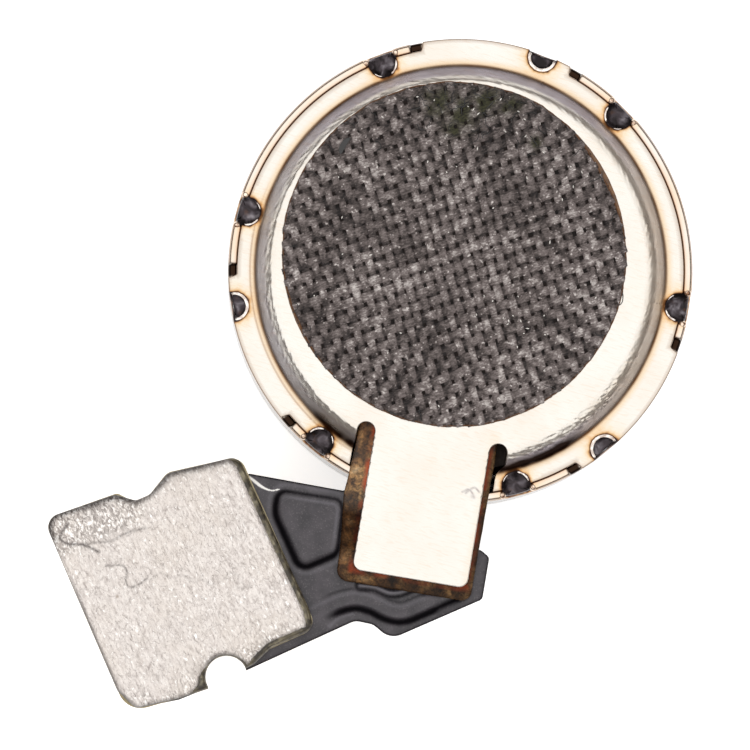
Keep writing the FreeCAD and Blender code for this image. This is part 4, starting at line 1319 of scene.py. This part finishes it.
def build_coil_flex():
    """Amber strip under the tongue, on a disc that is hidden under the plateau."""
    right, tip = 1.42, FLEX_LOW[1]
    disc = FLEX_HIGH[1]
    left = smooth_line(STRIP_LEFT, 10)
    strip_top = -math.sqrt(disc ** 2 - right ** 2)
    strip_left = -math.sqrt(disc ** 2 - left[0][0] ** 2)
    start = math.degrees(math.atan2(strip_top, right))
    end = math.degrees(math.atan2(strip_left, left[0][0])) + 360
    around = arc((0, 0), disc, start, end, 0.1)
    corner = 0.26
    lower_left = arc((left[-1][0] + corner, tip + corner), corner, 180, 270, 0.04)
    small = corner * 0.8
    lower_right = arc((right - 0.05 - small, tip + small), small, 270, 360, 0.04)
    outline = spread(np.concatenate([around, left, lower_left, lower_right]), 0.05)
    below = outline[:, 1] < -3.0
    wavy = 0.012 * field(outline, 0.35, 2.0)
    outward = unit(outline - np.array((0, -4.0)))
    outline = outline + outward * (wavy * below)[:, None] * (outline[:, 1:2] > tip + 0.02)
    inner = np.concatenate([lattice((-1.72, tip), (1.5, -3.2), 0.05, 0.01),
                            lattice((-2.6, -3.2), (2.6, 2.6), 0.3)])

    def top(places):
        beside = np.maximum(np.abs(places[:, 0]) - TONGUE_HALF, -TONGUE_TIP - places[:, 1])
        free = step_up(beside, 0.03, 0.14) * (places[:, 1] < -3.3)
        lumps = 0.012 * field(places, 0.25, 1.0) + 0.007 * field(places, 0.11, 4.0)
        return FLEX_HIGH[2] - free * (0.020 + lumps)

    points, faces, plan = pressed_sheet(outline, inner, top, FLEX_HIGH[2] - FLEX_LOW[2], 0.04)
    rim = distance_to(plan, outline, closed=True)
    piece = make_piece("amber_flex", points, faces, amber_finish(), "housing", "amber_film",
                       marks={"edge": np.exp(-rim / 0.035)})
    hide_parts("coil_flex")


# ---------------------------------------------------------------- tail flex

TAIL_CORNERS = [
    (-2.16, 1.86, 0.30), (-2.18, -1.70, 0.10), (-1.98, -2.16, 0.15), (-1.05, -2.36, 0.20),
    (-0.38, -2.38, 0.02), (0.53, -2.36, 0.02), (3.10, -2.31, 0.30), (3.42, -2.54, 0.30),
    (3.64, -2.98, 0.40), (5.79, -2.98, 0.10), (6.29, -2.21, 0.10), (6.18, -1.99, 0.20),
    (5.83, -1.76, 0.20), (5.60, -0.84, 0.20), (4.30, 0.10, 0.20), (4.19, 0.54, 0.04),
    (4.00, 0.34, 0.05), (2.28, 1.49, 0.05),
]
ISLAND = [(2.49, -0.80, 0.20), (3.30, -0.80, 0.22), (3.86, 0.14, 0.20), (2.72, 0.86, 0.16),
          (2.47, 0.50, 0.60)]
WAVED_TRACK = [(-1.6, -1.53), (0.6, -1.53), (1.3, -1.80), (2.5, -1.80), (2.95, -1.80),
               (3.30, -1.88), (3.60, -2.10), (3.86, -2.40), (4.12, -2.55), (4.5, -2.57),
               (5.25, -2.56)]
RIPPLE = [(2.55, -2.20), (2.80, -2.12), (3.10, -2.14)]
BRIGHT_LINE = [(2.24, 1.42), (2.40, 1.14), (2.55, 0.98), (2.72, 0.93)]
HIGH_TRACK = [(3.50, -1.66), (3.78, -1.82), (4.02, -2.06), (4.30, -2.14), (4.60, -2.10)]


def tail_emboss(places):
    """How far the cover film stands up or dips over the copper, and its painted groove shade and
    crest light.
    """
    outline = rounded(ISLAND, 0.05)
    gap = distance_to(places, outline, closed=True)
    gap = np.where(inside(places, outline), -gap, gap)
    from_middle = places - outline.mean(0)
    # painted shade and highlight: grooves wider on the lower left, crests lit on the other side
    heavy = step_up(from_middle @ np.array((-0.93, -0.37)), -0.35, 0.25)
    wide = 0.034 + 0.030 * heavy
    island_groove = bell(gap - 0.045, wide) * (0.62 + 0.38 * heavy)
    island_crest = bell(gap + 0.075, 0.030) * (1 - heavy)
    island_crest += 0.5 * bell(gap - 0.19, 0.045)
    relief = 0.024 * step_down(gap, -0.12, -0.03) - 0.044 * island_groove

    track = smooth_line(WAVED_TRACK)
    gap = distance_to(places, track) - 0.17
    nearest_height = np.interp(places[:, 0], track[:, 0], track[:, 1])
    lower = step_up(nearest_height - places[:, 1], -0.05, 0.10)
    wide = 0.028 + 0.036 * lower
    track_groove = bell(gap - 0.045, wide) * (0.30 + 0.70 * lower)
    track_groove *= step_up(places[:, 0], 2.45, 2.95)
    track_crest = bell(gap + 0.05, 0.045) * (1 - 0.7 * lower)
    relief += 0.024 * step_down(gap, -0.10, 0.02) - 0.042 * track_groove

    ripple = drawn(places, [(smooth_line(RIPPLE), 1.0, 0.045)])
    gap = distance_to(places, smooth_line(HIGH_TRACK))
    high = bell(gap, 0.040)
    high_groove = bell(gap - 0.085, 0.040)
    relief += 0.012 * ripple + 0.014 * high - 0.014 * high_groove
    groove_shade = np.maximum.reduce([island_groove, track_groove, 0.6 * high_groove])
    crest_highlight = np.maximum.reduce([0.34 * island_crest, 0.20 * track_crest, 0.25 * ripple,
                               0.40 * high])
    marks = {"groove_shade": np.clip(groove_shade * 1.15, 0, 1) ** 0.7, "crest_highlight": crest_highlight * (1 - groove_shade)}
    return relief + 0.004 * field(places, 0.7, 5.0), marks


def left_by_bite(outline, middle, radius):
    """What a round bite leaves of an outline, from one end of the bite to the other."""
    keep = lengths(outline - np.array(middle)) > radius
    first = next(index for index in range(len(outline)) if keep[index - 1] and not keep[index])
    return np.roll(outline, -first, axis=0)[np.roll(keep, -first)]


def track_outline(line, half):
    """Outline of a track of this half width along a line."""
    line = smooth_line(line, 10)
    side = leftward(unit(np.gradient(line, axis=0))) * half
    return spread(np.concatenate([line - side, (line + side)[::-1]]), 0.08)


def build_tail():
    """Base film, cover film and tracks of the tail."""
    outline = rounded(TAIL_CORNERS, 0.07)
    middle, radius = (0.08, -2.30), 0.45
    bite = arc(middle, radius, 187, -7, 0.05)
    outline = np.concatenate([bite, left_by_bite(outline, middle, radius)])
    inner = np.concatenate([lattice((2.25, -3.0), (4.75, 1.5), 0.032, 0.003),
                            lattice((2.25, 0.88), (2.80, 1.42), 0.017),
                            lattice((4.75, -3.0), (6.3, 0.6), 0.12),
                            lattice((-2.2, -2.4), (2.25, 2.4), 0.16)])
    thick = COVER_TOP - TAIL_UNDER

    def top(places):
        return COVER_TOP + tail_emboss(places)[0]

    points, faces, plan = pressed_sheet(outline, inner, top, thick, 0.035,
                                        under=level_at(COVER_TOP - thick))
    # a thin bright white line on the film
    bright_line = distance_to(plan, smooth_line(BRIGHT_LINE))
    wide = 0.012 + 0.020 * bell(plan[:, 0] - 2.34, 0.12)
    marks = tail_emboss(plan)[1]
    marks["bright_line"] = step_down(bright_line / wide, 0.7, 1.3)
    rim = distance_to(plan, outline, closed=True)
    # painted shade along the film's edge
    marks["groove_shade"] = np.maximum(marks["groove_shade"], 0.85 * bell(rim, 0.035))
    piece = make_piece("tail_flex", from_tail(points), faces, black_film_finish(), "housing",
                       "black_film", marks=marks, blend=True)
    nodes = [f"tail_{layer}_{zone}" for layer in ("film", "cover")
             for zone in ("root", "bend", "end")]
    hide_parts(*nodes)

    copper = plain_finish("track_copper_finish", (150, 84, 52), (205, 128, 88), 1.0, 0.3, 0.12)
    tracks = []
    for outline in (rounded(ISLAND, 0.06), track_outline(WAVED_TRACK, 0.17),
                    track_outline([(0.9, -1.2), (4.3, -1.2)], 0.07)):
        inner = lattice(outline.min(0), outline.max(0), 0.08)
        points, faces, _ = pressed_sheet(outline, inner, level_at(COPPER_TOP),
                                         COPPER_TOP - COPPER_UNDER, 0.004, steps=1)
        tracks.append((from_tail(points), faces))
    piece = make_piece("tail_tracks", *joined(tracks), copper, "housing", "copper", blend=True)
    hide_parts("tail_copper_root", "tail_copper_bend", "tail_copper_end")


# ---------------------------------------------------------------- contact pad

PAD_CORNERS = [
    (-2.19, -1.66, 0.20), (-1.98, -2.17, 0.20), (-1.05, -2.34, 0.20), (-0.38, -2.40, 0.02),
    (0.53, -2.32, 0.02), (0.74, -2.30, 0.06), (1.20, -2.13, 0.20), (2.20, -2.13, 0.24),
    (2.29, -1.72, 0.40), (2.20, 1.93, 0.26), (0.66, 2.20, 0.24), (0.12, 1.93, 0.24),
    (-0.20, 1.93, 0.14), (-0.56, 2.23, 0.14), (-2.18, 2.36, 0.30),
]
NOTCH = (0.08, -2.32, 0.45)
LIFTED_EDGE = [(-1.74, 2.06), (-1.96, 1.92), (-2.02, 1.82), (-1.90, 1.66), (-1.62, 1.52),
               (-1.36, 1.24)]
SECOND_FOLD = [(-1.62, 1.52), (-1.30, 1.42), (-1.04, 1.34), (-0.62, 1.36), (-0.24, 1.30)]
HAIRLINE = [(-1.36, 0.90), (-1.22, 0.84), (-1.08, 0.80), (-0.98, 0.70), (-0.99, 0.60),
            (-1.10, 0.40), (-1.05, 0.27), (-0.88, 0.24), (-0.62, 0.31)]
CRINKLES = [(-0.60, 0.22), (-0.36, 0.30), (-0.16, 0.10), (0.10, 0.06), (0.22, -0.16),
            (0.44, -0.20), (0.56, -0.36), (0.84, -0.40), (1.00, -0.28), (1.16, -0.46),
            (1.06, -0.66), (1.30, -0.74)]


def notched(outline, middle, radius, spacing):
    """An outline with a round bite taken out of it."""
    kept = left_by_bite(outline, middle, radius)
    from_turn = turn_of(kept[-1] - middle)
    to_turn = turn_of(kept[0] - middle)
    if to_turn > from_turn:
        to_turn -= 360
    bite = arc(middle, radius, from_turn, to_turn, spacing)
    return np.concatenate([bite[1:-1], kept])


def build_board():
    """Glass-fibre board under the foil, with rounded, slightly bulging sides."""
    outline = notched(rounded(PAD_CORNERS, 0.05), NOTCH[:2], NOTCH[2], 0.04)
    inner = lattice((-2.2, -2.4), (2.3, 2.4), 0.16)
    points, faces, _ = pressed_sheet(outline, inner, level_at(BOARD_HIGH[2]),
                                     BOARD_HIGH[2] - BOARD_LOW[2], 0.12, steps=6)
    piece = make_piece("stiffener_board", from_tail(points), faces, board_finish(),
                       "contact_tail", "board", sharp=70)
    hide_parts("stiffener_plate")


def foil_inset(places):
    """How far the foil ends inside the board: little at the left, more at the right and front."""
    right = 0.12 * step_up(places[:, 0], 1.9, 2.25)
    front = 0.10 * step_down(places[:, 1], -2.15, -1.9) * step_up(places[:, 0], 0.4, 0.9)
    notch = lengths(places - np.array((-0.25, -2.5)))
    beside = 0.14 * step_down(notch, 0.25, 0.60)
    return 0.012 + np.maximum.reduce([right, front, beside])


def build_foil():
    """Silver foil on the board: rolled edges, creases, a lifted corner and streaks."""
    outline = notched(rounded(PAD_CORNERS, 0.05), NOTCH[:2], NOTCH[2] + 0.02, 0.04)
    inward = leftward(unit(np.roll(outline, -1, axis=0) - np.roll(outline, 1, axis=0)))
    inset = foil_inset(outline)
    moved = outline + inward * inset[:, None]
    outline = spread(moved[distance_to(moved, outline, closed=True) > inset * 0.93], 0.05)
    inner = lattice((-2.2, -2.45), (2.3, 2.4), 0.037, 0.004)
    lifted = smooth_line(LIFTED_EDGE)
    fold = smooth_line(SECOND_FOLD)
    hair = smooth_line(HAIRLINE)
    crinkle = smooth_line(CRINKLES, 5)

    def top(places):
        rim = distance_to(places, outline, closed=True)
        roll = 0.10 + 0.08 * step_up(places[:, 1], 1.5, 2.0)
        fall = 0.055 * np.clip(1 - rim / roll, 0, 1) ** 2.2
        patch = step_up(places[:, 1] + 0.05 * places[:, 0], 1.25, 1.5)
        patch = patch * step_down(places[:, 0], -0.35, 0.05)
        crumple = 0.026 * patch * field(places * np.array((1.0, 0.6)), 0.085, 3.0)
        front = step_down(places[:, 1] - 0.1 * places[:, 0], -2.2, -1.7)
        crumple = crumple + 0.020 * front * field(places, 0.09, 7.0)
        crumple = crumple + 0.010 * field(places * np.array((1.0, 0.6)), 0.085, 17.0)
        edges = 0.010 * bell(distance_to(places, lifted), 0.05)
        edges += 0.008 * bell(distance_to(places, fold), 0.05)
        edges += 0.020 * bell(distance_to(places, crinkle), 0.08) * field(places, 0.08, 23.0)
        left = step_down(places[:, 0], -2.0, -1.6)
        edges += 0.014 * left * field(places * np.array((1.0, 0.4)), 0.08, 29.0)
        wave = 0.003 * field(places, 0.5, 2.0)
        return FOIL_TOP - 0.012 - fall + crumple + edges + wave

    def under(places):
        return np.minimum(BOARD_HIGH[2] - 0.01, top(places) - 0.02)

    points, faces, plan = pressed_sheet(outline, inner, top, 0.06, 0.012, steps=2, under=under)
    # painted shade along the creases, the lifted edge and the crinkles, and a dark hairline
    crease = drawn(plan, [(lifted + np.array((0.0, -0.015)), 0.95, 0.026), (fold, 0.6, 0.022),
                          (hair, 0.75, 0.018), (crinkle, 0.22, 0.022)])
    rim = distance_to(plan, outline, closed=True)
    back = step_up(plan[:, 1], 1.5, 2.1)
    front = step_down(plan[:, 1], -2.2, -1.5)
    patch = step_up(plan[:, 1], 1.3, 1.6) * step_down(plan[:, 0], -0.4, 0.1)
    # painted shade and highlights on the crumpled patch, the back edge and the front
    crumple_shade_and_light = np.clip(0.55 * patch + 0.7 * back * np.exp(-rim / 0.07)
                    + 0.55 * front * (0.5 + field(plan, 0.4, 1.5)), 0, 1)
    # painted shade on the rolled edges, wider at the back, and by the notch
    from_notch = lengths(plan - np.array(NOTCH[:2])) - NOTCH[2]
    by_notch = bell(np.maximum(from_notch - 0.02, 0), 0.05)
    reach = 0.035 + 0.10 * step_up(plan[:, 1], 1.55, 1.95) * (0.75 + 0.5 * field(plan, 0.5, 2.5))
    roll = bell(rim, np.maximum(reach, 0.02)) * np.maximum(
        0.85 * back, 0.75 * step_down(plan[:, 0], -2.1, -1.9) * step_down(plan[:, 1], 0.2, 1.2))
    roll = np.maximum(roll, 0.8 * by_notch * step_down(plan[:, 0], 0.15, 0.5))
    roll = np.maximum(roll, 0.7 * front * bell(rim, 0.022))
    piece = make_piece("pad_foil", from_tail(points), faces, foil_finish(), "contact_tail",
                       "silver_film", marks={"crease": crease, "crumple_shade_and_light": crumple_shade_and_light, "roll": roll},
                       sharp=60)
    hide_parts("stiffener_film")


# ---------------------------------------------------------------- camera, light and floor

def build_camera():
    """Straight down with a slight tilt, from far away, with the tongue pointing down and left."""
    target = Vector((-1.445, -2.52, 2.7)) * MM
    distance, width_in_view = 280.0, 16.13
    tilt, side, upward = (math.radians(angle) for angle in (2.5, -105, 99.5))
    away = Vector((math.sin(tilt) * math.cos(side), math.sin(tilt) * math.sin(side),
                   math.cos(tilt)))
    up = Vector((math.cos(upward), math.sin(upward), 0))
    data = bpy.data.cameras.new("camera")
    data.sensor_width = 36.0
    data.lens = data.sensor_width * distance / width_in_view
    data.clip_start = 0.01
    data.clip_end = 10.0
    camera = add_object("camera", data)
    right = up.cross(away).normalized()
    upright = away.cross(right)
    turned = Matrix((right, upright, away)).transposed().to_4x4()
    camera.matrix_world = Matrix.Translation(target + away * distance * MM) @ turned
    bpy.context.scene.camera = camera


def build_light():
    """A wide softbox overhead, dim walls round it: a world whose brightness follows height."""
    world = bpy.data.worlds.new("studio")
    bpy.context.scene.world = world
    world.use_nodes = True
    tree = world.node_tree
    place = tree.nodes.new("ShaderNodeTexCoord")
    split = tree.nodes.new("ShaderNodeSeparateXYZ")
    ramp = tree.nodes.new("ShaderNodeValToRGB")
    tree.links.new(place.outputs["Generated"], split.inputs[0])
    tree.links.new(split.outputs["Z"], ramp.inputs["Fac"])
    background = tree.nodes["Background"]
    tree.links.new(ramp.outputs["Color"], background.inputs["Color"])
    background.inputs["Strength"].default_value = 1.78
    fill_ramp(ramp, [(0.0, (0.30, 0.29, 0.31, 1)), (0.10, (0.17, 0.155, 0.15, 1)),
                     (0.46, (0.13, 0.115, 0.11, 1)), (0.60, (0.30, 0.28, 0.27, 1)),
                     (0.69, (1.0, 0.99, 0.98, 1))])


def build_floor():
    """A plain white sheet that the can stands on, a hair below its base."""
    size, low = 1500, -0.02
    corners = [(-size, -size, low), (size, -size, low), (size, size, low), (-size, size, low)]
    mesh = bpy.data.meshes.new("floor")
    mesh.from_pydata((np.array(corners) * MM).tolist(), [], [(0, 1, 2, 3)])
    white = Finish("floor_finish", (0.88, 0.88, 0.88, 1), 0.0, 0.9, Specular_IOR_Level=0.0,
                   Emission_Color=(1, 1, 1, 1), Emission_Strength=0.6)
    mesh.materials.append(white.material)
    floor = add_object("floor", mesh)


def build_spring():
    """The flat spring, its outer ring on the can's floor, with every edge split in two."""
    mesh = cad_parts["spring"].data.copy()
    mesh.name = "flat_spring"
    cut = bmesh.new()
    cut.from_mesh(mesh)
    bmesh.ops.remove_doubles(cut, verts=cut.verts[:], dist=1e-7)
    bmesh.ops.subdivide_edges(cut, edges=cut.edges[:], cuts=1, use_grid_fill=True)
    bmesh.ops.triangulate(cut, faces=cut.faces[:])
    cut.to_mesh(mesh)
    cut.free()
    mesh.set_sharp_from_angle(angle=math.radians(40))
    piece = add_object("flat_spring", mesh)
    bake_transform(piece)
    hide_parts("spring")


build_camera()
build_light()
build_floor()
finish_inner_nodes()
build_spring()
build_can()
build_welds()
build_bracket()
build_cloth()
build_lint()
build_coil_flex()
build_tail()
build_board()
build_foil()
bpy.context.scene.view_settings.view_transform = "Standard"
